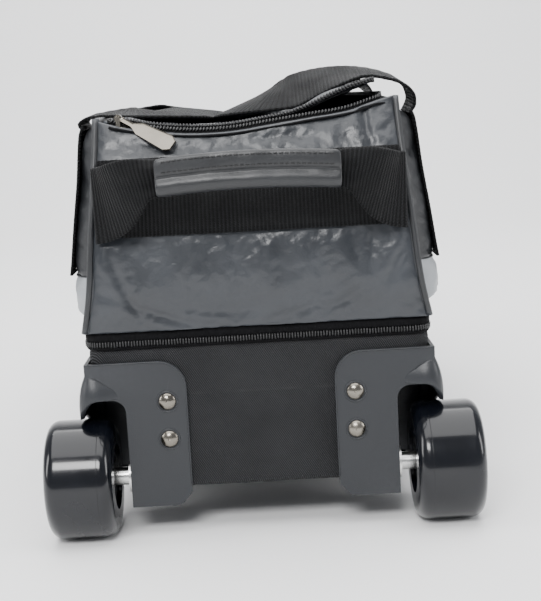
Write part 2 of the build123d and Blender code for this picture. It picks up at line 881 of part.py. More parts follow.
def grab_leg():
    # a strip of webbing from the side seam out to the end of the grip, seen from above as a bent line
    seam_x = half_width - 16
    plan = [
        (grab_half_width + 0.6, grip_back_y - grab_depth / 2),
        (grab_half_width + 10, grip_back_y - grab_depth / 2 + 2),
        (seam_x - 14, band_face_y - 6),
        (seam_x, band_face_y - 1.5),
    ]
    face = band_between(plan, -webbing_thickness / 2, webbing_thickness / 2, lambda x, y: Vector(x, y, 0))
    middle = grab_z - 12
    return extrude(
        Location((0, 0, middle - grab_leg_height / 2)) * face, amount=grab_leg_height, dir=(0, 0, 1)
    )


front_grip = grab_grip()
front_legs = pair(grab_leg())
write("grab_grip_front", front_grip)
write("grab_grip_rear", other_end(front_grip))
write("grab_webbing_front", front_legs)
write("grab_webbing_rear", other_end(front_legs))

# ---------------------------------------------------------------- top zip
tape_outer_y = -(half_length - 14)
coil_y0 = tape_outer_y + 6.0
coil_y1 = coil_y0 + zip_coil_size
coil_z0 = end_panel_top
coil_z1 = coil_z0 + zip_tape + zip_coil_size
right_tape_x1 = half_width - 14 - panel_thickness - 0.2
right_tape_x0 = right_tape_x1 - 7
right_tape_z = upper_top - 3


def body_zip():
    # the half of the zip that is sewn to the bag: one end, the right side and the other end
    corner_y = tape_outer_y + 0.5
    strip = box(zip_start_x, right_tape_x1, tape_outer_y, coil_y0, coil_z0, coil_z0 + zip_tape)
    strip += box(zip_start_x, right_tape_x1, coil_y0 - 0.5, coil_y1, coil_z0, coil_z1)
    riser = box(right_tape_x1 - 1.5, right_tape_x1, corner_y, coil_y1 + 2, coil_z0, right_tape_z + zip_tape)
    front = strip + riser
    tape_top = right_tape_z + zip_tape
    right = box(right_tape_x0, right_tape_x1, coil_y1 + 1, -coil_y1 - 1, right_tape_z, tape_top)
    right += box(
        right_tape_x0,
        right_tape_x0 + 2,
        coil_y1 + 1,
        -coil_y1 - 1,
        right_tape_z,
        right_tape_z + zip_coil_size,
    )
    return front + right + other_end(front)


def lid_zip():
    # the other half, sewn to the lid's edge
    edge = band_between(lid_line, -zip_coil_size / 2, zip_coil_size / 2, in_xz)
    strip = prism_along_y(edge, -lid_half_length - 3.2, -lid_half_length - skin_gap)
    top_z = lid_line[-1][1]
    x0 = lid_right_x + 0.6
    right = box(x0, x0 + 2.6, -lid_half_length - 3.2, lid_half_length + 3.2, top_z - 1.2, top_z + 1.2)
    joint_y0 = -lid_half_length - 3.2
    joint_y1 = -lid_half_length - skin_gap
    joint = box(lid_right_x - 2, x0 + 1, joint_y0, joint_y1, top_z - 1.2, top_z + 1.2)
    return strip + joint + right + other_end(strip + joint)


write("body_zip", body_zip())
write("lid_zip", lid_zip())
lid_face = band_between(lid_line, -lid_thickness / 2, lid_thickness / 2, in_xz)
write("lid_panel", prism_along_y(lid_face, -lid_half_length, lid_half_length))
lining_gap = lid_thickness / 2 + skin_gap
lining_face = band_between(lid_line, -lining_gap - lining_thickness, -lining_gap, in_xz)
write("lid_lining", prism_along_y(lining_face, -lid_half_length + 1, lid_half_length - 1))

slider_half = 6.0
slider_y0 = coil_y0 - 3.5
slider_y1 = coil_y1 + 3.2
slider_top = coil_z1 + 0.5
pin_z = slider_top + 2.0 + 5.6
pin_y = (slider_y0 + slider_y1) / 2
pin_radius = 0.9


def zip_slider():
    x0 = slider_x - slider_half
    x1 = slider_x + slider_half
    post_y = coil_y1 + 0.5
    top = box(x0, x1, slider_y0, slider_y1, slider_top, slider_top + 2)
    top = fillet(top.edges().filter_by(Axis.Z), 2.5)
    bottom = box(x0, x1, coil_y0 - 0.3, slider_y1, coil_z0 - 2.4, coil_z0 - 0.5)
    post = box(x0 + 2, x1 - 2, post_y, slider_y1 - 0.4, coil_z0 - 1, slider_top + 1)
    bail = box(slider_x - 1.4, slider_x + 1.4, slider_y0 + 0.4, slider_y0 + 1.9, slider_top + 1, pin_z + 1.4)
    rear_post = (slider_y1 - 1.9, slider_y1 - 0.4)
    bail += box(slider_x - 1.4, slider_x + 1.4, *rear_post, slider_top + 1, pin_z + 1.4)
    pin = rod((slider_x, slider_y0 + 1, pin_z), (slider_x, slider_y1 - 1, pin_z), pin_radius)
    return top + bottom + post + bail + pin


puller_tip = (slider_x + 36.0, -half_length + 2.5, upper_top - 23.0)


def zip_puller():
    # a plain tapered cast tab that hangs over the panel's edge, with an eye round the slider's pin
    eye_half = 1.6
    eye = rod((slider_x, pin_y - eye_half, pin_z), (slider_x, pin_y + eye_half, pin_z), 2.6)
    along = Vector(*puller_tip) - Vector(slider_x, pin_y, pin_z)
    panel_normal = Vector(0, -0.86, 0.5)
    width_way = panel_normal.cross(along)
    plane = Plane(origin=(slider_x, pin_y, pin_z), x_dir=along, z_dir=along.cross(width_way))
    length = along.length
    neck = 12.0
    outline = [(0, -1.4), (neck, -1.6), (neck + 6, -4.6), (length - 4, -6.0), (length, -3.5)]
    outline += [(length, 3.5), (length - 4, 6.0), (neck + 6, 4.6), (neck, 1.6), (0, 1.4)]
    tab = extrude(plane * make_face(Polyline(*outline, close=True)), amount=1.2, both=True)
    hole = rod((slider_x, pin_y - 4, pin_z), (slider_x, pin_y + 4, pin_z), pin_radius + slide_clearance)
    return eye + tab - hole


write("zip_slider", zip_slider())
write("zip_puller", zip_puller())

# ---------------------------------------------------------------- slider and puller of the base zip
side_zip_face_x = half_width + coil_out + body_gap
side_pin_z = base_top - 1.0


def base_slider():
    plate = box(
        side_zip_face_x,
        side_zip_face_x + 2,
        side_slider_y - 6,
        side_slider_y + 6,
        side_pin_z - 2,
        base_top + 9,
    )
    plate = fillet(plate.edges().filter_by(Axis.X), 2.5)
    z = side_pin_z + 1
    pin_end_x = side_zip_face_x + 4.4
    pin = rod((side_zip_face_x + 1, side_slider_y, z), (pin_end_x, side_slider_y, z), pin_radius)
    head = rod((pin_end_x - 0.3, side_slider_y, z), (pin_end_x + 0.6, side_slider_y, z), 2.0)
    return plate + pin + head


def base_puller():
    x0 = side_zip_face_x + 2 + 0.3
    top = side_pin_z + 1
    plane = Plane(origin=(x0, side_slider_y, top), x_dir=(0, 1, 0), z_dir=(1, 0, 0))
    right_edge = [(2, 3), (3, -4), (4.5, -14), (4.5, -28), (2.5, -31)]
    outline = right_edge + [(-y, z) for y, z in reversed(right_edge)]
    tab = extrude(plane * make_face(Polyline(*outline, close=True)), amount=1.5)
    hole = rod((x0 - 1, side_slider_y, top), (x0 + 3, side_slider_y, top), pin_radius + slide_clearance)
    return tab - hole


write("base_zip_slider", base_slider())
write("base_zip_puller", base_puller())
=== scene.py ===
import bpy
import bmesh
import math
import numpy as np
from mathutils import Matrix, Vector, noise


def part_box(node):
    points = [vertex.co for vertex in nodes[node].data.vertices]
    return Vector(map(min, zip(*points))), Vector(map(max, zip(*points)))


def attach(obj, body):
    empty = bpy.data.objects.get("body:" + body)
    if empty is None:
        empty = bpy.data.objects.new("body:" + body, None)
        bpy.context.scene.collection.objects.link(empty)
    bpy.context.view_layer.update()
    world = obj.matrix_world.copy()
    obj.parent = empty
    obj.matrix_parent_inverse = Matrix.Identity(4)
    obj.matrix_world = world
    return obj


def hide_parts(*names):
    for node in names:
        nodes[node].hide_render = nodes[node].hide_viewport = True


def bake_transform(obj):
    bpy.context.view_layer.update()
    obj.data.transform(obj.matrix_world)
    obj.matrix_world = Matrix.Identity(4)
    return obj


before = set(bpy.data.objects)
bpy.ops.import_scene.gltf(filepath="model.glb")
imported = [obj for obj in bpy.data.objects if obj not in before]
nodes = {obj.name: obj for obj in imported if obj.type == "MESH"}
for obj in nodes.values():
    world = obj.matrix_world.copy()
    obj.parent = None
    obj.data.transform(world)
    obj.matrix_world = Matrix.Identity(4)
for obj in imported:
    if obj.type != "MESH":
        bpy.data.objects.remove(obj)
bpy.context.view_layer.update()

# ------------------------------------------------------------------ camera, floor and studio light
# A low, long lens looks at the wheel end from just above the bag's top, with the camera a little tilted.
# A wide softbox hangs in front of and above the bag, a dimmer one stands at each side, and the floor
# is pale card that curves up behind the bag.

def in_scene(name, data):
    """A new object with that data, linked into the scene."""
    made = bpy.data.objects.new(name, data)
    bpy.context.scene.collection.objects.link(made)
    return made


end_plane_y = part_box("base_cover")[0].y
camera_place = Vector((0.00777, end_plane_y - 0.8, 0.2906))
camera_pitch = math.radians(9.5)
camera_yaw = math.radians(0.13)
camera_roll = math.radians(-3.14)

ahead = Vector((
    math.sin(camera_yaw) * math.cos(camera_pitch),
    math.cos(camera_yaw) * math.cos(camera_pitch),
    -math.sin(camera_pitch),
))
level_right = Vector((math.cos(camera_yaw), -math.sin(camera_yaw), 0))
level_up = level_right.cross(ahead)
right = level_right * math.cos(camera_roll) + level_up * math.sin(camera_roll)
up = level_up * math.cos(camera_roll) - level_right * math.sin(camera_roll)
camera_data = bpy.data.cameras.new("camera")
camera_data.sensor_width = 36.0
camera_data.lens = 73.8
camera_data.clip_start = 0.01
camera = in_scene("camera", camera_data)
camera.matrix_world = Matrix((
    (right.x, up.x, -ahead.x, camera_place.x),
    (right.y, up.y, -ahead.y, camera_place.y),
    (right.z, up.z, -ahead.z, camera_place.z),
    (0, 0, 0, 1),
))
bpy.context.scene.camera = camera


def softbox(name, place, aim, width, height, power):
    data = bpy.data.lights.new(name, "AREA")
    data.shape = "RECTANGLE"
    data.size = width
    data.size_y = height
    data.energy = power
    lamp = in_scene(name, data)
    lamp.location = place
    lamp.rotation_euler = (Vector(aim) - Vector(place)).to_track_quat("-Z", "Y").to_euler()


softbox("key_softbox", (-0.3, -1.5, 1.15), (-0.02, -0.2, 0.12), 0.7, 0.4, 24)
softbox("top_softbox", (0, -0.2, 1.9), (0, 0, 0), 2.2, 2.2, 62)
softbox("left_softbox", (-1.6, -0.5, 0.7), (0, -0.1, 0.15), 0.4, 0.9, 10)
softbox("right_softbox", (1.6, -0.6, 0.7), (0, -0.1, 0.15), 0.4, 0.9, 10)
softbox("back_softbox", (0, 1.2, 2.2), (0, 2.6, 0.6), 2.6, 1.0, 60)

room_light = (0.93, 0.95, 1.0, 1)
room_strength = 0.5
world = bpy.data.worlds.new("studio")
world.use_nodes = True
world.node_tree.nodes["Background"].inputs["Color"].default_value = room_light
world.node_tree.nodes["Background"].inputs["Strength"].default_value = room_strength
bpy.context.scene.world = world

floor_half = 7.0
cove_start = 1.6
cove_radius = 1.4
wall_height = 4.0
floor_profile = [(-floor_half, 0.0), (cove_start, 0.0)]
for k in range(1, 13):
    angle = k / 12 * math.pi / 2
    floor_profile.append((cove_start + cove_radius * math.sin(angle), cove_radius * (1 - math.cos(angle))))
floor_profile.append((cove_start + cove_radius, wall_height))
floor_corners = [(x, y, z) for y, z in floor_profile for x in (-floor_half, floor_half)]
floor_faces = [(2 * k, 2 * k + 1, 2 * k + 3, 2 * k + 2) for k in range(len(floor_profile) - 1)]
floor_mesh = bpy.data.meshes.new("floor")
floor_mesh.from_pydata(floor_corners, [], floor_faces)
floor_mesh.polygons.foreach_set("use_smooth", [True] * len(floor_faces))
floor = in_scene("floor", floor_mesh)
floor_card = bpy.data.materials.new("floor_card")
floor_card.use_nodes = True
card_shader = floor_card.node_tree.nodes["Principled BSDF"]
card_shader.inputs["Base Color"].default_value = (0.94, 0.94, 0.94, 1)
card_shader.inputs["Roughness"].default_value = 0.85
floor.data.materials.append(floor_card)

# -------------------------------------------------------- moulded parts: housings, feet, rails, bezel
# The wheel housings, skid rails, feet and pull-handle cup are injection moulded in dark grey plastic with
# a fine spark-eroded texture; the housings are scuffed paler along the edges. They are riveted or screwed
# on. The housings get rounded edges, and the rest keep their CAD shape.


def fed(tree, made, inputs):
    """The node with its inputs set, each to a value or to another node's output."""
    for socket, value in inputs.items():
        if isinstance(value, bpy.types.NodeSocket):
            tree.links.new(value, made.inputs[socket])
        else:
            made.inputs[socket].default_value = value
    return made


def add(tree, kind, inputs=None, **settings):
    """A shader or geometry node with its settings and its inputs."""
    made = tree.nodes.new(kind)
    for name, value in settings.items():
        setattr(made, name, value)
    return fed(tree, made, inputs or {})


def maths(tree, operation, a, b=0.0):
    return add(tree, "ShaderNodeMath", {0: a, 1: b}, operation=operation).outputs[0]


def effect_group(name, inputs, outputs):
    """An empty shader node group with float or vector inputs, and its two end nodes."""
    tree = bpy.data.node_groups.new(name, "ShaderNodeTree")
    for label, value in inputs.items():
        kind = "NodeSocketVector" if isinstance(value, tuple) else "NodeSocketFloat"
        socket = tree.interface.new_socket(label, in_out="INPUT", socket_type=kind)
        socket.default_value = value
    for label in outputs:
        tree.interface.new_socket(label, in_out="OUTPUT", socket_type="NodeSocketFloat")
    return tree, tree.nodes.new("NodeGroupInput"), tree.nodes.new("NodeGroupOutput")


def place_group(tree, group, inputs):
    made = tree.nodes.new("ShaderNodeGroup")
    made.node_tree = group
    return fed(tree, made, inputs)


# edge wear: a broken mask along the convex edges
edge_wear, wear_in, wear_out = effect_group(
    "edge_wear", {"Place": (0, 0, 0), "Start": 0.52, "Scale": 300.0}, ["Mask"]
)
wear_place = wear_in.outputs["Place"]
wear_noise = add(
    edge_wear, "ShaderNodeTexNoise", {"Vector": wear_place, "Scale": wear_in.outputs["Scale"]}
)
wear_edge = add(edge_wear, "ShaderNodeNewGeometry").outputs["Pointiness"]
wear_raised = maths(edge_wear, "SUBTRACT", wear_edge, wear_in.outputs["Start"])
wear_sharp = maths(edge_wear, "MULTIPLY", wear_raised, 14.0)
wear_broken = maths(edge_wear, "MULTIPLY", wear_sharp, wear_noise.outputs["Fac"])
wear_mask = add(edge_wear, "ShaderNodeClamp", {"Value": wear_broken}).outputs[0]
edge_wear.links.new(wear_mask, wear_out.inputs["Mask"])

# dust: a faint mask on what faces up, in patches
dust, dust_in, dust_out = effect_group("dust", {"Place": (0, 0, 0), "Amount": 0.2}, ["Mask"])
dust_place = dust_in.outputs["Place"]
dust_noise = add(dust, "ShaderNodeTexNoise", {"Vector": dust_place, "Scale": 45.0, "Detail": 4.0})
dust_facing = add(dust, "ShaderNodeNewGeometry").outputs["Normal"]
dust_height = add(dust, "ShaderNodeSeparateXYZ", {0: dust_facing}).outputs["Z"]
dust_up = add(dust, "ShaderNodeMapRange", {"Value": dust_height, "From Min": 0.1, "From Max": 1.0})
dust_cloud = {"Value": dust_noise.outputs["Fac"], "From Min": 0.4, "From Max": 0.7}
dust_patch = add(dust, "ShaderNodeMapRange", dust_cloud)
dust_mask = maths(dust, "MULTIPLY", dust_up.outputs[0], dust_patch.outputs[0])
dust.links.new(maths(dust, "MULTIPLY", dust_mask, dust_in.outputs["Amount"]), dust_out.inputs["Mask"])

# grain: cells with soft valleys and finer noise, for leather and for textured plastic
grain, grain_in, grain_out = effect_group(
    "grain", {"Place": (0, 0, 0), "Cells": 700.0, "Blend": 0.5}, ["Height", "Tone"]
)
grain_place = grain_in.outputs["Place"]
grain_cells = add(
    grain,
    "ShaderNodeTexVoronoi",
    {"Vector": grain_place, "Scale": grain_in.outputs["Cells"]},
    feature="SMOOTH_F1",
)
grain_noise = add(grain, "ShaderNodeTexNoise", {"Vector": grain_place, "Scale": 900.0, "Detail": 3.0})
grain_broad = add(grain, "ShaderNodeTexNoise", {"Vector": grain_place, "Scale": 28.0, "Detail": 5.0})
grain_part = maths(grain, "MULTIPLY", grain_noise.outputs["Fac"], grain_in.outputs["Blend"])
grain_height = maths(grain, "SUBTRACT", grain_part, grain_cells.outputs["Distance"])
grain.links.new(grain_height, grain_out.inputs["Height"])
grain.links.new(grain_broad.outputs["Fac"], grain_out.inputs["Tone"])


def plain_material(name, metallic=0.0, specular=0.5, coat=0.0, coat_roughness=0.1, sheen=0.0):
    """A material with its constants set. The caller links what varies over the surface."""
    made = bpy.data.materials.new(name)
    made.use_nodes = True
    shader = made.node_tree.nodes["Principled BSDF"]
    shader.inputs["Metallic"].default_value = metallic
    shader.inputs["Specular IOR Level"].default_value = specular
    shader.inputs["Coat Weight"].default_value = coat
    shader.inputs["Coat Roughness"].default_value = coat_roughness
    shader.inputs["Sheen Weight"].default_value = sheen
    shader.inputs["Sheen Roughness"].default_value = 0.4
    return made, made.node_tree, shader


def object_place(tree):
    return add(tree, "ShaderNodeTexCoord").outputs["Object"]


def tone_between(tree, factor, dark, pale):
    ramp = add(tree, "ShaderNodeMix", {0: factor}, data_type="RGBA")
    ramp.inputs["A"].default_value = (*dark, 1)
    ramp.inputs["B"].default_value = (*pale, 1)
    return ramp.outputs["Result"]


def mixed_over(tree, mask, under, over):
    mix = add(tree, "ShaderNodeMix", {0: mask}, data_type="RGBA")
    tree.links.new(under, mix.inputs["A"])
    mix.inputs["B"].default_value = (*over, 1)
    return mix.outputs["Result"]


def painted(tree, shader, colour):
    tree.links.new(colour, shader.inputs["Base Color"])


def roughened(tree, shader, cloud, low, high, start=0.3, end=0.7):
    """Roughness that goes from low to high as the cloud value goes from start to end."""
    values = {"Value": cloud, "From Min": start, "From Max": end, "To Min": low, "To Max": high}
    rough = add(tree, "ShaderNodeMapRange", values)
    tree.links.new(rough.outputs[0], shader.inputs["Roughness"])


def bumped(tree, shader, height, distance, strength=1.0):
    bump = add(tree, "ShaderNodeBump", {"Height": height, "Distance": distance, "Strength": strength})
    tree.links.new(bump.outputs["Normal"], shader.inputs["Normal"])


def moulded_plastic(name, dark, pale, rough_low, rough_high, specular=0.2, wear=None):
    made, tree, shader = plain_material(name, specular=specular)
    place = object_place(tree)
    skin = place_group(tree, grain, {"Place": place, "Cells": 1400.0, "Blend": 0.8})
    dusty = place_group(tree, dust, {"Place": place, "Amount": 0.06})
    colour = tone_between(tree, skin.outputs["Tone"], dark, pale)
    if wear:
        worn = place_group(tree, edge_wear, {"Place": place})
        colour = mixed_over(tree, worn.outputs["Mask"], colour, wear)
    colour = mixed_over(tree, dusty.outputs["Mask"], colour, (0.3, 0.29, 0.28))
    painted(tree, shader, colour)
    roughened(tree, shader, skin.outputs["Tone"], rough_low, rough_high)
    bumped(tree, shader, skin.outputs["Height"], 0.00012, 0.5)
    return made


def dress(made, *names):
    for name in names:
        mesh = nodes[name].data
        mesh.materials.clear()
        mesh.materials.append(made)


housing_plastic = moulded_plastic(
    "housing_plastic",
    (0.013, 0.0145, 0.0172),
    (0.017, 0.019, 0.0225),
    0.36,
    0.44,
    specular=0.4,
    wear=(0.026, 0.028, 0.032),
)


def settled(piece):
    """The piece with its modifiers worked into its mesh."""
    ready = piece.evaluated_get(bpy.context.evaluated_depsgraph_get())
    mesh = bpy.data.meshes.new_from_object(ready)
    piece.modifiers.clear()
    piece.data = mesh
    return piece


def placed(piece, made, body, slot, *cad_nodes):
    """Gives a piece its material, its body and the CAD nodes that it stands for."""
    piece.data.materials.clear()
    piece.data.materials.append(made)
    if body:
        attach(piece, body)
    if cad_nodes:
        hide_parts(*cad_nodes)
    return piece


def eased(node, name, made, body, slot, edge, cut_beyond=None, dished=0.0):
    """A merged copy of a CAD node with rounded edges.

    It can be cut off beyond a place out to each side, or dished on its broad faces.
    """
    mesh = nodes[node].data.copy()
    work = bmesh.new()
    work.from_mesh(mesh)
    bmesh.ops.remove_doubles(work, verts=work.verts, dist=0.00001)
    bmesh.ops.dissolve_limit(work, angle_limit=math.radians(1.0), verts=work.verts, edges=work.edges)
    if cut_beyond:
        for side in (-1, 1):
            parts = work.verts[:] + work.edges[:] + work.faces[:]
            cut = bmesh.ops.bisect_plane(
                work,
                geom=parts,
                plane_co=(side * cut_beyond, 0, 0),
                plane_no=(side, 0, 0),
                clear_outer=True,
            )
            rim = [part for part in cut["geom_cut"] if isinstance(part, bmesh.types.BMEdge)]
            bmesh.ops.holes_fill(work, edges=[e for e in rim if e.is_valid and e.is_boundary])
    bmesh.ops.recalc_face_normals(work, faces=work.faces)
    if dished:
        broad_area = 0.00008
        rim_width = 0.0011
        broad = [face for face in work.faces if face.calc_area() > broad_area]
        bmesh.ops.inset_individual(work, faces=broad, thickness=rim_width, depth=-dished)
    for face in work.faces:
        face.smooth = True
    sharp = math.radians(35)
    for crease in work.edges:
        if len(crease.link_faces) == 2 and crease.calc_face_angle() > sharp:
            crease.smooth = False
    work.to_mesh(mesh)
    work.free()
    copy = in_scene(name, mesh)
    rounding = copy.modifiers.new("rounding", "BEVEL")
    rounding.width = edge
    rounding.segments = 3
    rounding.limit_method = "ANGLE"
    rounding.angle_limit = sharp
    even = copy.modifiers.new("even", "WEIGHTED_NORMAL")
    even.keep_sharp = True
    even.weight = 100
    settled(copy)
    return placed(copy, made, body, slot, node)


side_plate_x = 0.1163
housing_edge = 0.0006
for name in ("left", "right"):
    housing = ("wheel_housing_" + name, "housing_" + name, housing_plastic, "bag", "housing_plastic")
    eased(*housing, housing_edge, cut_beyond=side_plate_x)
rail_plastic = moulded_plastic(
    "rail_plastic", (0.0085, 0.0095, 0.0115), (0.014, 0.0155, 0.0185), 0.4, 0.55
)
dress(rail_plastic, "skid_rails", "rear_feet", "handle_bezel", "channel_saddles")
dress(rail_plastic, "mid_tube_stops", "inner_tube_stops")
grip_plastic = moulded_plastic("grip_plastic", (0.006, 0.006, 0.0066), (0.012, 0.012, 0.013), 0.45, 0.6)
dress(grip_plastic, "handle_bar")
button_plastic = moulded_plastic("button_plastic", (0.09, 0.09, 0.1), (0.12, 0.12, 0.13), 0.4, 0.5)
dress(button_plastic, "release_button")
pan_plastic = moulded_plastic("pan_plastic", (0.012, 0.012, 0.013), (0.02, 0.02, 0.022), 0.5, 0.65)
dress(pan_plastic, "base_pan")

# ------------------------------------------------------------------ wheels
# Each wheel is a dark, glossy urethane tyre cast on a nylon hub. Two ball bearings run on a zinc-plated
# axle with a washer, a spacer and a lock nut. Rivets and zip sliders are nickel plated.
urethane, tree, shader = plain_material("urethane", specular=0.3, coat=0.3, coat_roughness=0.04)
place = object_place(tree)
cloud = add(tree, "ShaderNodeTexNoise", {"Vector": place, "Scale": 30.0, "Detail": 6.0})
cast_colour = tone_between(tree, cloud.outputs["Fac"], (0.0012, 0.0015, 0.0026), (0.004, 0.005, 0.008))
painted(tree, shader, cast_colour)
roughened(tree, shader, cloud.outputs["Fac"], 0.16, 0.3, start=0.35)
scuff = add(tree, "ShaderNodeTexNoise", {"Vector": place, "Scale": 260.0, "Detail": 2.0})
bumped(tree, shader, scuff.outputs["Fac"], 0.00004, 0.4)
dress(urethane, "tyre_left", "tyre_right")
hub_nylon = moulded_plastic("hub_nylon", (0.01, 0.01, 0.011), (0.02, 0.02, 0.022), 0.35, 0.5)
dress(hub_nylon, "wheel_hub_left", "wheel_hub_right")


def bare_metal(name, dark, pale, rough_low, rough_high, scale=60.0):
    made, tree, shader = plain_material(name, metallic=1.0)
    place = object_place(tree)
    cloud = add(tree, "ShaderNodeTexNoise", {"Vector": place, "Scale": scale, "Detail": 5.0})
    painted(tree, shader, tone_between(tree, cloud.outputs["Fac"], dark, pale))
    roughened(tree, shader, cloud.outputs["Fac"], rough_low, rough_high)
    fine = add(tree, "ShaderNodeTexNoise", {"Vector": place, "Scale": 700.0, "Detail": 2.0})
    bumped(tree, shader, fine.outputs["Fac"], 0.00005, 0.4)
    return made


zinc_steel = bare_metal("zinc_steel", (0.5, 0.5, 0.5), (0.68, 0.68, 0.66), 0.2, 0.34)
dress(zinc_steel, "axle_left", "axle_right", "axle_washers", "axle_spacers", "axle_lock_nuts")
dress(zinc_steel, "base_screws", "handle_channels", "button_spring", "release_rods")
bearing_steel = bare_metal("bearing_steel", (0.45, 0.45, 0.47), (0.6, 0.6, 0.62), 0.15, 0.25)
dress(bearing_steel, "wheel_bearings_left", "wheel_bearings_right")
tube_aluminium = bare_metal(
    "tube_aluminium", (0.6, 0.6, 0.62), (0.72, 0.72, 0.74), 0.3, 0.42, scale=25.0
)
dress(tube_aluminium, "mid_tubes", "inner_tubes")
nickel = bare_metal("nickel", (0.13, 0.118, 0.1), (0.27, 0.25, 0.215), 0.18, 0.32)
dress(nickel, "housing_rivets", "rivet_burrs")
casting_edge = 0.0004
for node, name, body, dish in (
    ("zip_slider", "top_slider_cast", "top_slider", 0.0),
    ("zip_puller", "top_puller_cast", "top_puller", 0.0005),
    ("base_zip_slider", "side_slider_cast", "side_slider", 0.0),
    ("base_zip_puller", "side_puller_cast", "side_puller", 0.0004),
):
    eased(node, name, nickel, body, "nickel", casting_edge, dished=dish)

# ------------------------------------------------------------------ foam cradle
# A block of closed-cell foam lies on the pan's floor, cut with two round seats for the balls.
# It keeps its CAD shape.
foam, tree, shader = plain_material("foam", specular=0.3)
place = object_place(tree)
bubbles = add(tree, "ShaderNodeTexVoronoi", {"Vector": place, "Scale": 900.0})
foam_colour = tone_between(tree, bubbles.outputs["Distance"], (0.02, 0.02, 0.022), (0.07, 0.07, 0.075))
painted(tree, shader, foam_colour)
shader.inputs["Roughness"].default_value = 0.9
bumped(tree, shader, bubbles.outputs["Distance"], 0.0003, 0.6)
dress(foam, "foam_cradle")

# ------------------------------------------------------------------ twill base cover
# The base is wrapped in black polyester twill, sewn as a tub round the moulded pan and cut away at the
# wheel wells. Its walls are almost flat, with slow waves where the cloth isn't glued down.


def follow(table, at):
    """A smooth curve through a table of (place, value) pairs, read at one or many places."""
    xs = np.array([p[0] for p in table], float)
    ys = np.array([p[1] for p in table], float)
    slopes = np.gradient(ys, xs)
    at = np.clip(np.asarray(at, float), xs[0], xs[-1])
    i = np.clip(np.searchsorted(xs, at, side="right") - 1, 0, len(xs) - 2)
    step = xs[i + 1] - xs[i]
    t = (at - xs[i]) / step
    a = (1 + 2 * t) * (1 - t) ** 2 * ys[i] + t * (1 - t) ** 2 * step * slopes[i]
    return a + t * t * (3 - 2 * t) * ys[i + 1] + t * t * (t - 1) * step * slopes[i + 1]


def run_along(line):
    """How far along the line each of its points lies."""
    return np.concatenate([[0], np.cumsum(np.linalg.norm(np.diff(line, axis=0), axis=1))])


def even_line(points, gap):
    """Points about gap apart on a smooth line through the given points, of any width."""
    points = np.array(points, float)
    place = run_along(points[:, :3])
    fine = np.linspace(0, place[-1], 400)
    columns = [follow(list(zip(place, points[:, k])), fine) for k in range(points.shape[1])]
    line = np.stack(columns, axis=1)
    run = run_along(line[:, :3])
    count = max(2, int(round(run[-1] / gap)) + 1)
    even = np.linspace(0, run[-1], count)
    return np.stack([np.interp(even, run, line[:, k]) for k in range(points.shape[1])], axis=1)


def rounded_loop(half_x, half_y, radius, gap):
    """Points round a rounded rectangle, anticlockwise from the middle of its front."""
    corners = [(1, -1, -90), (1, 1, 0), (-1, 1, 90), (-1, -1, 180)]
    loop = [(0.0, -half_y)]
    for sx, sy, start in corners:
        centre = (sx * (half_x - radius), sy * (half_y - radius))
        for k in range(9):
            angle = math.radians(start + k * 90 / 8)
            loop.append((centre[0] + radius * math.cos(angle), centre[1] + radius * math.sin(angle)))
    loop.append((0.0, -half_y))
    loop = np.array(loop)
    run = run_along(loop)
    count = int(run[-1] / gap)
    even = np.linspace(0, run[-1], count, endpoint=False)
    return np.stack([np.interp(even, run, loop[:, k]) for k in range(2)], axis=1)


def waves(points, size, seed):
    """Smooth noise from -1 to 1 at each point, with features of about that size."""
    shift = Vector((seed * 7.13, seed * 3.71, seed * 1.37))
    flat = points.reshape(-1, 3)
    values = [noise.noise(Vector(p) / size + shift) for p in flat]
    return np.array(values).reshape(points.shape[:-1])


def sheet_mesh(name, rows, wrap=False, flip=False):
    """A mesh over a grid of points, with a UV map in metres: along the rows, then across them."""
    n, m = rows.shape[:2]
    mesh = bpy.data.meshes.new(name)
    across = list(range(m)) + ([0] if wrap else [])
    faces = []
    for i in range(n - 1):
        for j in range(len(across) - 1):
            a, b = across[j], across[j + 1]
            quad = (i * m + a, i * m + b, (i + 1) * m + b, (i + 1) * m + a)
            faces.append(quad[::-1] if flip else quad)
    mesh.from_pydata(rows.reshape(-1, 3).tolist(), [], faces)
    step_u = np.linalg.norm(np.diff(rows, axis=0), axis=2).mean(axis=1)
    u = np.concatenate([[0], np.cumsum(step_u)])
    closed = np.concatenate([rows, rows[:, :1]], axis=1) if wrap else rows
    step_v = np.linalg.norm(np.diff(closed, axis=1), axis=2).mean(axis=0)
    v = np.concatenate([[0], np.cumsum(step_v)])
    layer = mesh.uv_layers.new(name="cloth")
    place = []
    for i in range(n - 1):
        for j in range(len(across) - 1):
            quad = [(u[i], v[j]), (u[i], v[j + 1]), (u[i + 1], v[j + 1]), (u[i + 1], v[j])]
            place += quad[::-1] if flip else quad
    layer.data.foreach_set("uv", np.array(place, float).reshape(-1))
    mesh.polygons.foreach_set("use_smooth", [True] * len(mesh.polygons))
    return in_scene(name, mesh)


def thickened(piece, thickness):
    """The sheet with its thickness added on its inner side."""
    solid = piece.modifiers.new("thickness", "SOLIDIFY")
    solid.thickness = thickness
    solid.offset = -1
    return settled(piece)


def rejoined(piece):
    """Merges doubles and turns the faces outwards."""
    work = bmesh.new()
    work.from_mesh(piece.data)
    bmesh.ops.remove_doubles(work, verts=work.verts, dist=0.00002)
    bmesh.ops.recalc_face_normals(work, faces=work.faces)
    work.to_mesh(piece.data)
    work.free()
    return piece
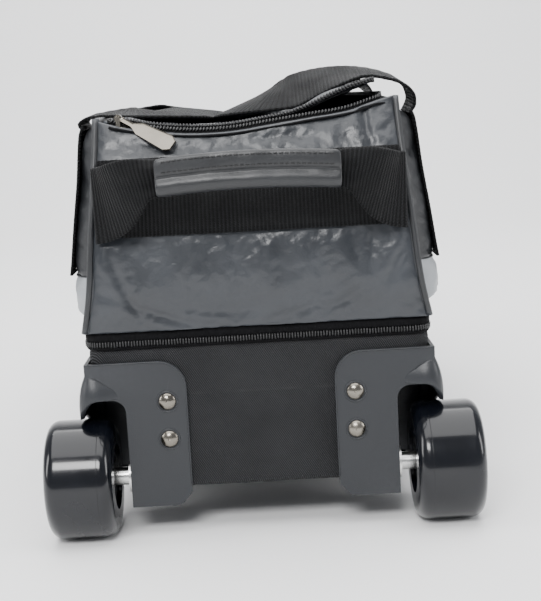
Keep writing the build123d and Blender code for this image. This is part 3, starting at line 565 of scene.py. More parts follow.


# twill: slanting ribs on a wall, whichever way it faces; its Tone is painted shade, dark in the valleys
# between the ribs and pale on their crests
twill_weave, twill_in, twill_out = effect_group(
    "twill_weave", {"Place": (0, 0, 0), "Pitch": 0.0014}, ["Height", "Tone"]
)
twill_split = add(twill_weave, "ShaderNodeSeparateXYZ", {0: twill_in.outputs["Place"]})
twill_across = maths(twill_weave, "ADD", twill_split.outputs["X"], twill_split.outputs["Y"])
twill_up = maths(twill_weave, "MULTIPLY", twill_split.outputs["Z"], 0.62)
twill_slant = maths(twill_weave, "ADD", twill_across, twill_up)
twill_wound = maths(twill_weave, "MULTIPLY", twill_slant, 2 * math.pi)
twill_rib = maths(twill_weave, "SINE", maths(twill_weave, "DIVIDE", twill_wound, twill_in.outputs["Pitch"]))
yarn_pitch = 0.0008
twill_rows = maths(twill_weave, "MULTIPLY", twill_split.outputs["Z"], 2 * math.pi / yarn_pitch)
twill_yarn = maths(twill_weave, "MULTIPLY", maths(twill_weave, "SINE", twill_rows), 0.3)
twill_weave.links.new(maths(twill_weave, "ADD", twill_rib, twill_yarn), twill_out.inputs["Height"])
twill_rib_shade = add(twill_weave, "ShaderNodeMapRange", {"Value": twill_rib, "From Min": -1.0, "From Max": 1.0})
twill_weave.links.new(twill_rib_shade.outputs[0], twill_out.inputs["Tone"])

twill, tree, shader = plain_material("twill", specular=0.18, sheen=0.02)
place = object_place(tree)
weave = place_group(tree, twill_weave, {"Place": place})
dusty = place_group(tree, dust, {"Place": place, "Amount": 0.08})
fade = add(tree, "ShaderNodeTexNoise", {"Vector": place, "Scale": 18.0, "Detail": 4.0})
# painted shade: the twill's colour is dark between the ribs and pale on them, times a random mottle
rib_shade_and_mottle = maths(tree, "MULTIPLY", weave.outputs["Tone"], maths(tree, "ADD", fade.outputs["Fac"], 0.35))
colour = tone_between(tree, rib_shade_and_mottle, (0.0005, 0.0005, 0.0006), (0.045, 0.046, 0.05))
painted(tree, shader, mixed_over(tree, dusty.outputs["Mask"], colour, (0.3, 0.29, 0.28)))
shader.inputs["Roughness"].default_value = 0.7
bumped(tree, shader, weave.outputs["Height"], 0.0003, 0.9)

base_low, base_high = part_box("base_cover")
base_half_x = base_high.x
base_half_y = base_high.y
base_bottom = base_low.z
base_top = base_high.z
base_corner = 0.012
well_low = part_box("wheel_housing_right")[0]
well_cut_x = 0.0892
well_cut_y = well_low.y + 0.0617
well_cut_z = 0.0967


def base_rows(heights, outs, gap, size=0.0, grain_size=0.05, seed=1):
    """Loops round the base at some heights, each moved out by its own amount and by smooth waves."""
    loop = rounded_loop(base_half_x, base_half_y, base_corner, gap)
    ahead_of = np.roll(loop, -1, axis=0) - np.roll(loop, 1, axis=0)
    outward = np.stack([ahead_of[:, 1], -ahead_of[:, 0]], axis=1)
    outward /= np.linalg.norm(outward, axis=1)[:, None]
    rows = []
    for z, out in zip(heights, outs):
        flat = loop + outward * out
        row = np.concatenate([flat, np.full((len(flat), 1), z)], axis=1)
        if size:
            move = waves(row, grain_size, seed) * size
            row[:, :2] += outward * move[:, None]
        rows.append(row)
    return np.array(rows)


cover_heights = np.linspace(base_bottom, base_top, 33)
cover_outs = [-0.0012] + [0.0] * 31 + [-0.0005]
cover_rows = base_rows(cover_heights, cover_outs, 0.004, size=0.0007, grain_size=0.06)
base_cover = sheet_mesh("twill_base_cover", cover_rows, wrap=True)
work = bmesh.new()
work.from_mesh(base_cover.data)
low_ring = {v for v in work.verts if v.co.z < base_bottom + 0.0001}
low_edges = [e for e in work.edges if all(v in low_ring for v in e.verts)]
bmesh.ops.contextual_create(work, geom=low_edges)
for side in (-1, 1):
    for point, normal in (
        ((side * well_cut_x, 0, 0), (1, 0, 0)),
        ((0, well_cut_y, 0), (0, 1, 0)),
        ((0, 0, well_cut_z), (0, 0, 1)),
    ):
        parts = work.verts[:] + work.edges[:] + work.faces[:]
        bmesh.ops.bisect_plane(work, geom=parts, plane_co=point, plane_no=normal)
in_well = []
for face in work.faces:
    middle = face.calc_center_median()
    if abs(middle.x) > well_cut_x and middle.y < well_cut_y and middle.z < well_cut_z:
        in_well.append(face)
bmesh.ops.delete(work, geom=in_well, context="FACES")
bmesh.ops.recalc_face_normals(work, faces=work.faces)
work.to_mesh(base_cover.data)
work.free()
thickened(base_cover, 0.0018)
placed(base_cover, twill, "bag", "twill", "base_cover")

# ------------------------------------------------------------------ fenders over the wheels
# Each housing swells into a hooded fender at its outer top corner: a scooped facet that rises to a curved
# ridge, a lip over the tyre and a side wall that follows the tread. A thin bead runs round the flange's
# free edge and round each rivet's seat, and a fine mould line round each tyre.


def capped(piece):
    """The piece with its open ends filled and its faces turned outwards."""
    work = bmesh.new()
    work.from_mesh(piece.data)
    bmesh.ops.holes_fill(work, edges=[e for e in work.edges if e.is_boundary])
    bmesh.ops.recalc_face_normals(work, faces=work.faces)
    work.to_mesh(piece.data)
    work.free()
    return piece


def tube_mesh(name, path, radius, sides=10, normal=(0, 0, 1)):
    """A closed round tube along points, of one radius or one for each point."""
    path = np.array(path, float)
    ahead_of = np.gradient(path, axis=0)
    ahead_of /= np.linalg.norm(ahead_of, axis=1)[:, None]
    side_way = np.cross(ahead_of, np.array(normal, float))
    side_way /= np.linalg.norm(side_way, axis=1)[:, None]
    up_way = np.cross(side_way, ahead_of)
    angles = np.linspace(0, 2 * math.pi, sides, endpoint=False)
    radii = np.broadcast_to(np.asarray(radius, float), (len(path),))
    rows = np.array([
        p + r * (np.cos(angles)[:, None] * s + np.sin(angles)[:, None] * u)
        for p, s, u, r in zip(path, side_way, up_way, radii)
    ])
    return capped(sheet_mesh(name, rows, wrap=True))


def joined(pieces, name):
    """One piece made of all of them, with their UV map kept."""
    work = bmesh.new()
    work.loops.layers.uv.new("cloth")
    for piece in pieces:
        work.from_mesh(piece.data)
        bpy.data.objects.remove(piece)
    mesh = bpy.data.meshes.new(name)
    work.to_mesh(mesh)
    work.free()
    return in_scene(name, mesh)


tyre_low, tyre_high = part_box("tyre_right")
axle_centre_y = (tyre_low.y + tyre_high.y) / 2
axle_centre_z = (tyre_low.z + tyre_high.z) / 2
flange_y = well_low.y
# the ridge's place (x, y, z), then the lip's place
fender_stations = [
    (0.0945, -0.2526, 0.1010, 0.0940, -0.2526, 0.0972),
    (0.0975, -0.2530, 0.1025, 0.0985, -0.2538, 0.0966),
    (0.1015, -0.2531, 0.1055, 0.1045, -0.2560, 0.0962),
    (0.1064, -0.2531, 0.1090, 0.1105, -0.2574, 0.0960),
    (0.1108, -0.2530, 0.1114, 0.1160, -0.2566, 0.0932),
    (0.1145, -0.2524, 0.1124, 0.1200, -0.2538, 0.0872),
    (0.1163, -0.2490, 0.1128, 0.1215, -0.2490, 0.0830),
    (0.1165, -0.2410, 0.1130, 0.1216, -0.2410, 0.0822),
    (0.1165, -0.2330, 0.1128, 0.1216, -0.2330, 0.0816),
    (0.1165, -0.2200, 0.1120, 0.1212, -0.2200, 0.0765),
    (0.1164, -0.2070, 0.1100, 0.1205, -0.2070, 0.0656),
    (0.1163, -0.1975, 0.1060, 0.1190, -0.1975, 0.0600),
    (0.1162, -0.1920, 0.1000, 0.1166, -0.1910, 0.0600),
]
fender_pieces = []
along_ridge = even_line(fender_stations, 0.0022)
closing_y = -0.1985
for side in (-1, 1):
    rows = []
    for x0, y0, z0, x1, y1, z1 in along_ridge:
        row = []
        ridge = np.array([x0, y0, z0])
        lip = np.array([x1, y1, z1])
        bend = np.array([x1 + (x1 - x0) * 0.28, y1 + (y1 - y0) * 0.15, z0 * 0.6 + z1 * 0.4])
        for v in np.linspace(0, 1, 16):
            x, y, z = ridge * (1 - v) ** 2 + 2 * v * (1 - v) * bend + lip * v * v
            row.append((side * x, y, z))
        # the lip turns back under itself
        row.append((side * (x1 - 0.0022), y1 + 0.0022, z1 + 0.0002))
        row.append((side * (x1 - 0.0026), y1 + 0.0026, z1 + 0.003))
        rows.append(row)
    hood = sheet_mesh("hood", np.array(rows), flip=side < 0)
    rejoined(hood)
    fender_pieces.append(thickened(hood, 0.0012))
    closing = np.array([
        [(side * x, closing_y, z) for x in np.linspace(0.112, 0.1203, 4)]
        for z in np.linspace(0.048, 0.104, 8)
    ])
    fender_pieces.append(thickened(rejoined(sheet_mesh("closing", closing)), 0.0018))

corner_x = 0.0675
corner_z = 0.1025
corner_radius = 0.0178
flange_edge_x = 0.0497
bead_y = flange_y - 0.0001
bead_outline = [(0.1140, 0.1201), (0.1000, 0.1203), (0.0800, 0.1203), (corner_x, 0.1203)]
for k in range(1, 12):
    angle = k / 12 * math.pi / 2
    round_x, round_z = corner_radius * math.sin(angle), corner_radius * math.cos(angle)
    bead_outline.append((corner_x - round_x, corner_z + round_z))
bead_outline += [(flange_edge_x, z) for z in (corner_z, 0.08, 0.055, 0.035)]
rivet_x = 0.0626
rivet_heights = (0.0673, 0.0931)
seat_radius = 0.0068
for side in (-1, 1):
    path = [(side * x, bead_y, z) for x, z in bead_outline]
    fender_pieces.append(tube_mesh("bead", path, 0.00055, sides=8, normal=(0, 1, 0)))
    for z in rivet_heights:
        ring = [
            (side * rivet_x + seat_radius * math.cos(t), bead_y, z + seat_radius * math.sin(t))
            for t in np.linspace(0, 2 * math.pi, 37)
        ]
        fender_pieces.append(tube_mesh("ring", ring, 0.0006, sides=6, normal=(0, 1, 0)))
fenders = joined(fender_pieces, "wheel_fenders")
placed(fenders, housing_plastic, "bag", "housing_plastic")

# the raised mould line round each tread
mould_line_x = 0.1098
tread_radius = 0.04
for side, label in ((-1, "left"), (1, "right")):
    circle = [
        (
            side * mould_line_x,
            axle_centre_y + tread_radius * math.cos(t),
            axle_centre_z + tread_radius * math.sin(t),
        )
        for t in np.linspace(0, 2 * math.pi, 97)
    ]
    line = tube_mesh("tyre_mould_line_" + label, circle, 0.00022, sides=6, normal=(1, 0, 0))
    placed(line, urethane, "wheel_" + label + "_body", "urethane")

# ------------------------------------------------------------------ zip band round the base
# A band of zip tape joins the base to the upper bag, with the coil of the zip in its lower half and a strip
# over the seam on the inside. One node tree sets the coil's turns, and rows of stitches, along a path.
band_low, band_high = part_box("base_zip_band")
band_bottom = band_low.z
band_top = band_high.z


def copies_along(name, path, along, closed, size, tilt, made, jitter=0.0):
    """Short six-sided rods set at even steps along a path of points, turned by tilt about its side."""
    tree = bpy.data.node_groups.new(name, "GeometryNodeTree")
    tree.interface.new_socket("Path", in_out="INPUT", socket_type="NodeSocketGeometry")
    labels = ("Pitch", "Length", "Width", "Tilt", "Jitter")
    sizes = []
    for label, value in zip(labels, (along, size[0], size[1], tilt, jitter)):
        socket = tree.interface.new_socket(label, in_out="INPUT", socket_type="NodeSocketFloat")
        sizes.append((socket.identifier, value))
    tree.interface.new_socket("Geometry", in_out="OUTPUT", socket_type="NodeSocketGeometry")
    given = tree.nodes.new("NodeGroupInput")
    result = tree.nodes.new("NodeGroupOutput")
    curve = add(tree, "GeometryNodeMeshToCurve", {"Mesh": given.outputs["Path"]})
    spacing = {"Curve": curve.outputs["Curve"], "Length": given.outputs["Pitch"]}
    steps = add(tree, "GeometryNodeResampleCurve", spacing, mode="LENGTH")
    shape = {"Vertices": 6, "Radius": given.outputs["Width"], "Depth": given.outputs["Length"]}
    rod = add(tree, "GeometryNodeMeshCylinder", shape, fill_type="TRIANGLE_FAN")
    smooth = add(tree, "GeometryNodeSetShadeSmooth", {"Geometry": rod.outputs["Mesh"]})
    heading = add(tree, "GeometryNodeInputTangent")
    facing = add(tree, "FunctionNodeAlignRotationToVector", {"Vector": heading.outputs[0]}, axis="X")
    turn = add(tree, "ShaderNodeCombineXYZ", {"Y": given.outputs["Tilt"]})
    lean = add(tree, "FunctionNodeEulerToRotation", {0: turn.outputs[0]})
    turns = {"Rotation": facing.outputs[0], "Rotate By": lean.outputs[0]}
    tilted = add(tree, "FunctionNodeRotateRotation", turns, rotation_space="LOCAL")
    spread = add(tree, "FunctionNodeRandomValue", {"Seed": 3}, data_type="FLOAT")
    spread.inputs[2].default_value = -1.0
    spread.inputs[3].default_value = 1.0
    rise = maths(tree, "MULTIPLY", spread.outputs[1], given.outputs["Jitter"])
    wobble = add(tree, "ShaderNodeCombineXYZ", {"Z": rise})
    shifted = {"Geometry": steps.outputs["Curve"], "Offset": wobble.outputs[0]}
    moved = add(tree, "GeometryNodeSetPosition", shifted)
    copies = {"Points": moved.outputs[0], "Instance": smooth.outputs[0], "Rotation": tilted.outputs[0]}
    points = add(tree, "GeometryNodeInstanceOnPoints", copies)
    real = add(tree, "GeometryNodeRealizeInstances", {0: points.outputs[0]})
    coloured = add(tree, "GeometryNodeSetMaterial", {0: real.outputs[0]})
    coloured.inputs["Material"].default_value = made
    tree.links.new(coloured.outputs[0], result.inputs[0])

    path = np.array(path, float)
    count = len(path)
    edges_of_path = [(i, (i + 1) % count) for i in range(count if closed else count - 1)]
    mesh = bpy.data.meshes.new(name)
    mesh.from_pydata(path.tolist(), edges_of_path, [])
    piece = in_scene(name, mesh)
    modifier = piece.modifiers.new("copies", "NODES")
    modifier.node_group = tree
    for identifier, value in sizes:
        modifier[identifier] = value
    return settled(piece)


zip_cloth, tree, shader = plain_material("zip_cloth", specular=0.06, sheen=0.01)
place = object_place(tree)
split = add(tree, "ShaderNodeSeparateXYZ", {0: place})
tape_rib_pitch = 0.0011
round_base = maths(tree, "ADD", split.outputs["X"], split.outputs["Y"])
rib = maths(tree, "SINE", maths(tree, "MULTIPLY", round_base, 2 * math.pi / tape_rib_pitch))
fuzz = add(tree, "ShaderNodeTexNoise", {"Vector": place, "Scale": 500.0, "Detail": 3.0})
painted(tree, shader, tone_between(tree, fuzz.outputs["Fac"], (0.0008, 0.0008, 0.001), (0.008, 0.008, 0.009)))
shader.inputs["Roughness"].default_value = 0.75
bumped(tree, shader, maths(tree, "ADD", rib, fuzz.outputs["Fac"]), 0.00012, 0.6)

coil_nylon, tree, shader = plain_material("coil_nylon", specular=0.55)
gloss = add(tree, "ShaderNodeTexNoise", {"Vector": object_place(tree), "Scale": 300.0, "Detail": 2.0})
painted(tree, shader, tone_between(tree, gloss.outputs["Fac"], (0.003, 0.003, 0.0033), (0.01, 0.01, 0.011)))
shader.inputs["Roughness"].default_value = 0.35

band_steps = (0, 0.0012, 0.0019, 0.0026, 0.0055, 0.0063, 0.009, 0.0102, 0.0108)
band_heights = [band_bottom + step for step in band_steps] + [band_top]
band_outs = [0.0002, 0.0012, 0.0013, 0.0003, 0.0004, 0.0014, 0.0015, 0.0015, 0.0004, 0.0006]
band_rows = base_rows(band_heights, band_outs, 0.004, size=0.0005, grain_size=0.03, seed=5)
zip_band = thickened(sheet_mesh("outer_tape", band_rows, wrap=True), 0.0016)
# a strip of the same cloth covers the seam on the inside
inner_loop = rounded_loop(base_half_x - 0.0055, base_half_y - 0.0055, 0.008, 0.006)
inner_rows = np.array([
    [(x, y, z) for x, y in inner_loop] for z in np.linspace(band_bottom - 0.007, band_top + 0.009, 4)
])
inner_tape = thickened(rejoined(sheet_mesh("inner_tape", inner_rows, wrap=True)), 0.0012)
zip_band = joined([zip_band, inner_tape], "base_zip_tape")
placed(zip_band, zip_cloth, "bag", "zip_black", "base_zip_band")
coil_path = base_rows([band_bottom + 0.0041], [0.0014], 0.003)[0]
base_turn = (0.0036, 0.00062)
base_coil = copies_along("base_zip_turns", coil_path, 0.0019, True, base_turn, 0.0, coil_nylon, jitter=0.0002)
placed(base_coil, coil_nylon, "bag", "zip_black", "base_zip_coil")

# ------------------------------------------------------------------ leatherette
# The upper bag is sewn from leatherette: a knit cloth with a grained, softly shining slate-grey skin that
# creases and bags where the zip and the straps pull on it. The two end panels come first.


def leatherette(name, dark, pale, rough_low, rough_high):
    made, tree, shader = plain_material(name, specular=0.46, coat=0.12, coat_roughness=0.26)
    place = object_place(tree)
    skin = place_group(tree, grain, {"Place": place, "Cells": 650.0, "Blend": 0.5})
    worn = place_group(tree, edge_wear, {"Place": place, "Start": 0.55, "Scale": 120.0})
    dusty = place_group(tree, dust, {"Place": place, "Amount": 0.06})
    colour = tone_between(tree, skin.outputs["Tone"], dark, pale)
    faint = maths(tree, "MULTIPLY", worn.outputs["Mask"], 0.5)
    colour = mixed_over(tree, faint, colour, (0.13, 0.14, 0.16))
    colour = mixed_over(tree, dusty.outputs["Mask"], colour, (0.3, 0.3, 0.3))
    painted(tree, shader, colour)
    roughened(tree, shader, skin.outputs["Tone"], rough_low, rough_high)
    folds = {"Vector": place, "Scale": 75.0, "Detail": 4.0, "Distortion": 1.2}
    creases = add(tree, "ShaderNodeTexNoise", folds)
    swell = {"Height": creases.outputs["Fac"], "Distance": 0.0012, "Strength": 0.22}
    soft = add(tree, "ShaderNodeBump", swell)
    pores = {"Height": skin.outputs["Height"], "Distance": 0.00018, "Strength": 0.55}
    fine = add(tree, "ShaderNodeBump", {**pores, "Normal": soft.outputs["Normal"]})
    tree.links.new(fine.outputs["Normal"], shader.inputs["Normal"])
    return made


slate_leather = leatherette(
    "slate_leatherette", (0.0055, 0.0065, 0.0083), (0.035, 0.040, 0.048), 0.28, 0.5
)
dark_leather = leatherette(
    "dark_leatherette", (0.006, 0.0066, 0.0078), (0.012, 0.0134, 0.0155), 0.4, 0.52
)
silver_leather = leatherette("silver_leatherette", (0.22, 0.235, 0.25), (0.32, 0.335, 0.35), 0.4, 0.52)

base_half_width = 0.114
base_half_length = 0.25
upper_bottom = band_top
side_curve = [
    (upper_bottom, base_half_width + 0.001),
    (upper_bottom + 0.023, base_half_width - 0.004),
    (upper_bottom + 0.064, base_half_width - 0.0085),
    (upper_bottom + 0.094, base_half_width - 0.0115),
    (upper_bottom + 0.124, base_half_width - 0.0135),
    (upper_bottom + 0.143, base_half_width - 0.014),
]
end_curve = [
    (upper_bottom, base_half_length + 0.001),
    (upper_bottom + 0.029, base_half_length + 0.006),
    (upper_bottom + 0.069, base_half_length + 0.003),
    (upper_bottom + 0.104, base_half_length - 0.004),
    (upper_bottom + 0.127, base_half_length - 0.014),
    (upper_bottom + 0.143, base_half_length - 0.022),
]
# the height of the end panels' top edge at each place across
crest_curve = [
    (-0.1005, 0.2795), (-0.083, 0.2745), (-0.063, 0.271), (-0.037, 0.268), (-0.011, 0.268), (0.016, 0.271),
    (0.042, 0.274), (0.069, 0.2775), (0.086, 0.2825), (0.1005, 0.286),
]
web_low, web_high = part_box("end_webbing_front")
rear = 1
front = -1


def creased(piece, pinned, growth, cap, seed, pressure=0.6):
    """Lets a sewn panel settle as slightly oversized cloth held at its seams, and caps how far it moves."""
    mesh = piece.data
    start = np.empty(len(mesh.vertices) * 3)
    mesh.vertices.foreach_get("co", start)
    start = start.reshape(-1, 3)
    group = piece.vertex_groups.new(name="seams")
    group.add([int(i) for i in np.nonzero(pinned(start))[0]], 1.0, "REPLACE")
    rng = np.random.default_rng(seed)
    normals = np.empty(len(mesh.vertices) * 3)
    mesh.vertices.foreach_get("normal", normals)
    nudged = start + normals.reshape(-1, 3) * rng.normal(0, 0.0002, len(start))[:, None]
    mesh.vertices.foreach_set("co", nudged.reshape(-1))
    cloth = piece.modifiers.new("settling", "CLOTH")
    cloth.settings.quality = 6
    cloth.settings.mass = 0.3
    cloth.settings.tension_stiffness = 18
    cloth.settings.compression_stiffness = 18
    cloth.settings.bending_stiffness = 0.35
    cloth.settings.use_pressure = True
    cloth.settings.uniform_pressure_force = pressure
    cloth.settings.shrink_min = -growth
    cloth.settings.vertex_group_mass = "seams"
    cloth.settings.effector_weights.gravity = 0.0
    cloth.point_cache.frame_start = 1
    cloth.point_cache.frame_end = 20
    scene = bpy.context.scene
    for frame_number in range(cloth.point_cache.frame_start, cloth.point_cache.frame_end + 1):
        scene.frame_set(frame_number)
        bpy.context.view_layer.update()
    settled(piece)
    scene.frame_set(1)
    mesh = piece.data
    end = np.empty(len(mesh.vertices) * 3)
    mesh.vertices.foreach_get("co", end)
    move = end.reshape(-1, 3) - start
    size = np.linalg.norm(move, axis=1)
    limit = cap * np.tanh(size / cap) / np.maximum(size, 1e-9)
    mesh.vertices.foreach_set("co", (start + move * limit[:, None]).reshape(-1))
    mesh.update()
    return piece


def smoothed(piece):
    """The piece with one level of subdivision."""
    finish = piece.modifiers.new("finish", "SUBSURF")
    finish.levels = 1
    finish.render_levels = 1
    return settled(piece)


def end_point(x, z, end, out):
    return (x, end * (float(follow(end_curve, z)) + out), z)


def end_panel(end):
    across = np.linspace(-1, 1, 95)
    climb = np.linspace(0, 1, 60)
    rows = np.empty((len(climb), len(across), 3))
    for i, t in enumerate(climb):
        for j, s in enumerate(across):
            z = upper_bottom + t * (float(follow(crest_curve, s * 0.1005)) - upper_bottom)
            half = float(follow(side_curve, z)) - 0.0006
            # the panel sits a little back at its seams and bellies between them
            edge = min(1.0, (1 - abs(s)) * half / 0.014)
            crown = 0.003 * (1 - (1 - edge) ** 2) - 0.0018
            rows[i, j] = end_point(s * half, z, end, crown)
    # creases fan in from the lower corners and run down beside the outer seams
    for cx, cz, angle, length, depth in (
        (0.078, 0.2, 83, 0.055, 0.0016),
        (0.09, 0.175, 62, 0.05, 0.0016),
        (0.062, 0.158, 28, 0.05, 0.0014),
        (0.03, 0.15, 12, 0.06, 0.0011),
        (-0.085, 0.17, 112, 0.06, 0.0015),
        (-0.06, 0.15, 160, 0.055, 0.0012),
        (-0.03, 0.153, 172, 0.06, 0.001),
        (0.02, 0.263, 4, 0.06, 0.0008),
        (-0.05, 0.26, 172, 0.05, 0.0008),
        (0.078, 0.268, 97, 0.045, 0.0026),
    ):
        direction = np.array([math.cos(math.radians(angle)), math.sin(math.radians(angle))])
        flat = rows[..., [0, 2]] - np.array([cx, cz])
        run = flat @ direction
        away = flat @ np.array([-direction[1], direction[0]]) + 0.12 * run**2 / length
        dent = np.exp(-((away / 0.0028) ** 2)) - 0.55 * np.exp(-(((away - 0.006) / 0.005) ** 2))
        rows[..., 1] -= end * depth * dent * np.exp(-((run / (length * 0.5)) ** 2))
    rows[..., 1] += end * 0.0012 * waves(rows * np.array([1.0, 1.0, 1.6]), 0.03, 11 + end)
    label = "front" if end == front else "rear"
    piece = sheet_mesh("end_leather_" + label, rows, flip=end == rear)

    def sewn(points):
        halves = np.array([float(follow(side_curve, z)) for z in points[:, 2]])
        return (
            (np.abs(points[:, 0]) > halves - 0.005)
            | (points[:, 2] < upper_bottom + 0.004)
            | (points[:, 2] > follow(crest_curve, points[:, 0]) - 0.005)
            | ((points[:, 2] > web_low.z - 0.001) & (points[:, 2] < web_high.z + 0.001))
        )

    creased(piece, sewn, 0.014, 0.0024, seed=21 + end, pressure=0.4)
    thickened(smoothed(piece), 0.0022)
    placed(piece, slate_leather, "bag", "leatherette", "end_panel_" + label)


end_panel(front)
end_panel(rear)

# ------------------------------------------------------------------ side panels
# Each side is one leatherette panel that runs from the band to the zip, mostly behind the pocket.
# It is sewn in at the corner seams and sags slightly between them.
left_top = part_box("side_panel_left")[1].z
right_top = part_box("side_panel_right")[1].z


def side_panel(side, top, name, node):
    along = np.linspace(-1, 1, 120)
    heights = np.linspace(upper_bottom, top, 50)
    rows = np.empty((len(heights), len(along), 3))
    for i, z in enumerate(heights):
        half = float(follow(end_curve, z)) - 0.0008
        x = float(follow(side_curve, z))
        for j, s in enumerate(along):
            edge = min(1.0, (1 - abs(s)) * half / 0.014)
            rows[i, j] = (side * (x - 0.0012 * (1 - edge) ** 2), s * half, z)
    bagging = 0.0011 * waves(rows, 0.045, 31 + side)
    rows[..., 0] += side * np.minimum(bagging, 0.0008)
    piece = rejoined(sheet_mesh(name, rows, flip=side > 0))
    thickened(piece, 0.0024)
    placed(piece, dark_leather, "bag", "leatherette", node)


side_panel(-1, left_top, "side_leather_left", "side_panel_left")
side_panel(1, right_top, "side_leather_right", "side_panel_right")

# ------------------------------------------------------------------ corner piping
# A round cord wrapped in dark leatherette is sewn into each upright seam between the ends and the sides.
# It stands a little proud of both panels.
piping_radius = 0.0021
seams = []
for side in (-1, 1):
    for end in (front, rear):
        seam_top = left_top - 0.001 if side < 0 else right_top + 0.001
        heights = np.linspace(upper_bottom + 0.0005, seam_top, 44)
        path = []
        for z in heights:
            x = float(follow(side_curve, z)) - 0.0008
            y = float(follow(end_curve, z)) - 0.0008
            path.append((side * x, end * y, z))
        seams.append(tube_mesh("seam", path, piping_radius, normal=(side, 0, 0)))
piping = joined(seams, "corner_piping_cord")
placed(piping, dark_leather, "bag", "piping", "corner_piping")

# ------------------------------------------------------------------ side pockets
# A padded pouch is sewn on each side: pale silver leatherette at the foot, a dark piped seam with contrast
# stitches, and dark grey leatherette above, rounded at its ends and drawn in to the top seam.
pocket_low, pocket_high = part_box("side_pocket_right")
pocket_curve = [
    (upper_bottom, base_half_width + 0.0136),
    (upper_bottom + 0.022, base_half_width + 0.0146),
    (upper_bottom + 0.039, base_half_width + 0.0121),
    (upper_bottom + 0.064, base_half_width + 0.0086),
    (upper_bottom + 0.097, base_half_width + 0.0036),
    (upper_bottom + 0.123, base_half_width + 0.0006),
    (upper_bottom + 0.137, base_half_width - 0.0016),
]
pocket_half = pocket_high.y
pocket_corner = 0.024
pale_top = upper_bottom + 0.03


def pocket_x(y, z, out=0.0):
    """How far out the pocket's face is at a height and a place along it."""
    wall = float(follow(side_curve, z))
    proud = float(follow(pocket_curve, z)) - wall
    past = max(0.0, abs(y) - (pocket_half - pocket_corner))
    drop = pocket_corner - math.sqrt(max(0.0, pocket_corner**2 - past**2))
    return wall + max(0.0, proud - drop) + out


def pocket(side, name, node):
    low_z = pocket_low.z
    top_z = pocket_high.z
    along = np.linspace(-pocket_half, pocket_half, 150)
    lower = np.linspace(low_z, pale_top, 14)
    higher = np.linspace(pale_top + 0.0004, top_z, 46)
    halves = []
    for heights in (lower, higher):
        rows = np.empty((len(heights), len(along), 3))
        for i, z in enumerate(heights):
            seam = min(1.0, abs(z - pale_top) / 0.006)
            foot = min(1.0, (z - low_z) / 0.005)
            top = min(1.0, (top_z - z) / 0.007)
            tuck = 0.0016 * (1 - seam) ** 2 + 0.004 * (1 - foot) ** 2 + 0.007 * (1 - top) ** 2
            for j, y in enumerate(along):
                wall = float(follow(side_curve, z)) + 0.0003
                rows[i, j] = (side * max(wall, pocket_x(y, z) - tuck), y, z)
        puff = 0.0016 * waves(rows, 0.05, 41 + side)
        walls = [float(follow(side_curve, z)) for z in heights]
        deep = np.array([[pocket_x(y, z) - wall for y in along] for z, wall in zip(heights, walls)])
        rows[..., 0] += side * puff * np.clip(deep / 0.01, 0, 1)
        halves.append(rows)
    whole = np.concatenate(halves, axis=0)
    piece = sheet_mesh(name, whole, flip=side > 0)

    def sewn(points):
        walls = np.array([float(follow(side_curve, z)) for z in points[:, 2]])
        return (
            (np.abs(points[:, 0]) < walls + 0.0012)
            | (points[:, 2] < low_z + 0.003)
            | (points[:, 2] > top_z - 0.003)
            | (np.abs(points[:, 2] - pale_top) < 0.0016)
        )

    rejoined(piece)
    creased(piece, sewn, 0.025, 0.0035, seed=51 + side, pressure=1.2)
    thickened(piece, 0.0016)
    placed(piece, dark_leather, "bag", "leatherette", node)
    piece.data.materials.append(silver_leather)
    for face in piece.data.polygons:
        middle = np.mean([piece.data.vertices[v].co.z for v in face.vertices])
        face.material_index = 1 if middle < pale_top else 0


pocket(1, "pocket_leather_right", "side_pocket_right")
pocket(-1, "pocket_leather_left", "side_pocket_left")

pocket_cords = []
for side in (-1, 1):
    path = []
    for y in np.linspace(-pocket_half + 0.003, pocket_half - 0.003, 120):
        path.append((side * pocket_x(y, pale_top, -0.001), y, pale_top))
    from_ends = np.clip(np.linspace(0, 12, 120), 0, 1) * np.clip(np.linspace(12, 0, 120), 0, 1)
    taper = 0.0003 + 0.0013 * from_ends
    pocket_cords.append(tube_mesh("cord", path, taper, normal=(0, 0, 1)))
pocket_piping = joined(pocket_cords, "pocket_piping_cord")
placed(pocket_piping, dark_leather, "bag", "piping")


def thread(name, dark, pale, specular, roughness):
    made, tree, shader = plain_material(name, specular=specular)
    twist = add(tree, "ShaderNodeTexNoise", {"Vector": object_place(tree), "Scale": 900.0})
    painted(tree, shader, tone_between(tree, twist.outputs["Fac"], dark, pale))
    shader.inputs["Roughness"].default_value = roughness
    return made


thread_pale = thread("pale_thread", (0.5, 0.5, 0.5), (0.8, 0.8, 0.8), 0.3, 0.7)
thread_black = thread("black_thread", (0.006, 0.006, 0.006), (0.02, 0.02, 0.02), 0.4, 0.55)

contrast_rows = []
row_z = pale_top + 0.005
pale_stitch = (0.0026, 0.00035)
for side in (-1, 1):
    path = []
    for y in np.linspace(-pocket_half + 0.02, pocket_half - 0.02, 200):
        path.append((side * pocket_x(y, row_z, 0.0004), y, row_z))
    contrast_rows.append(
        copies_along("contrast_row", path, 0.004, False, pale_stitch, math.pi / 2, thread_pale)
    )
contrast = joined(contrast_rows, "pocket_contrast_stitches")
placed(contrast, thread_pale, "bag", "webbing")

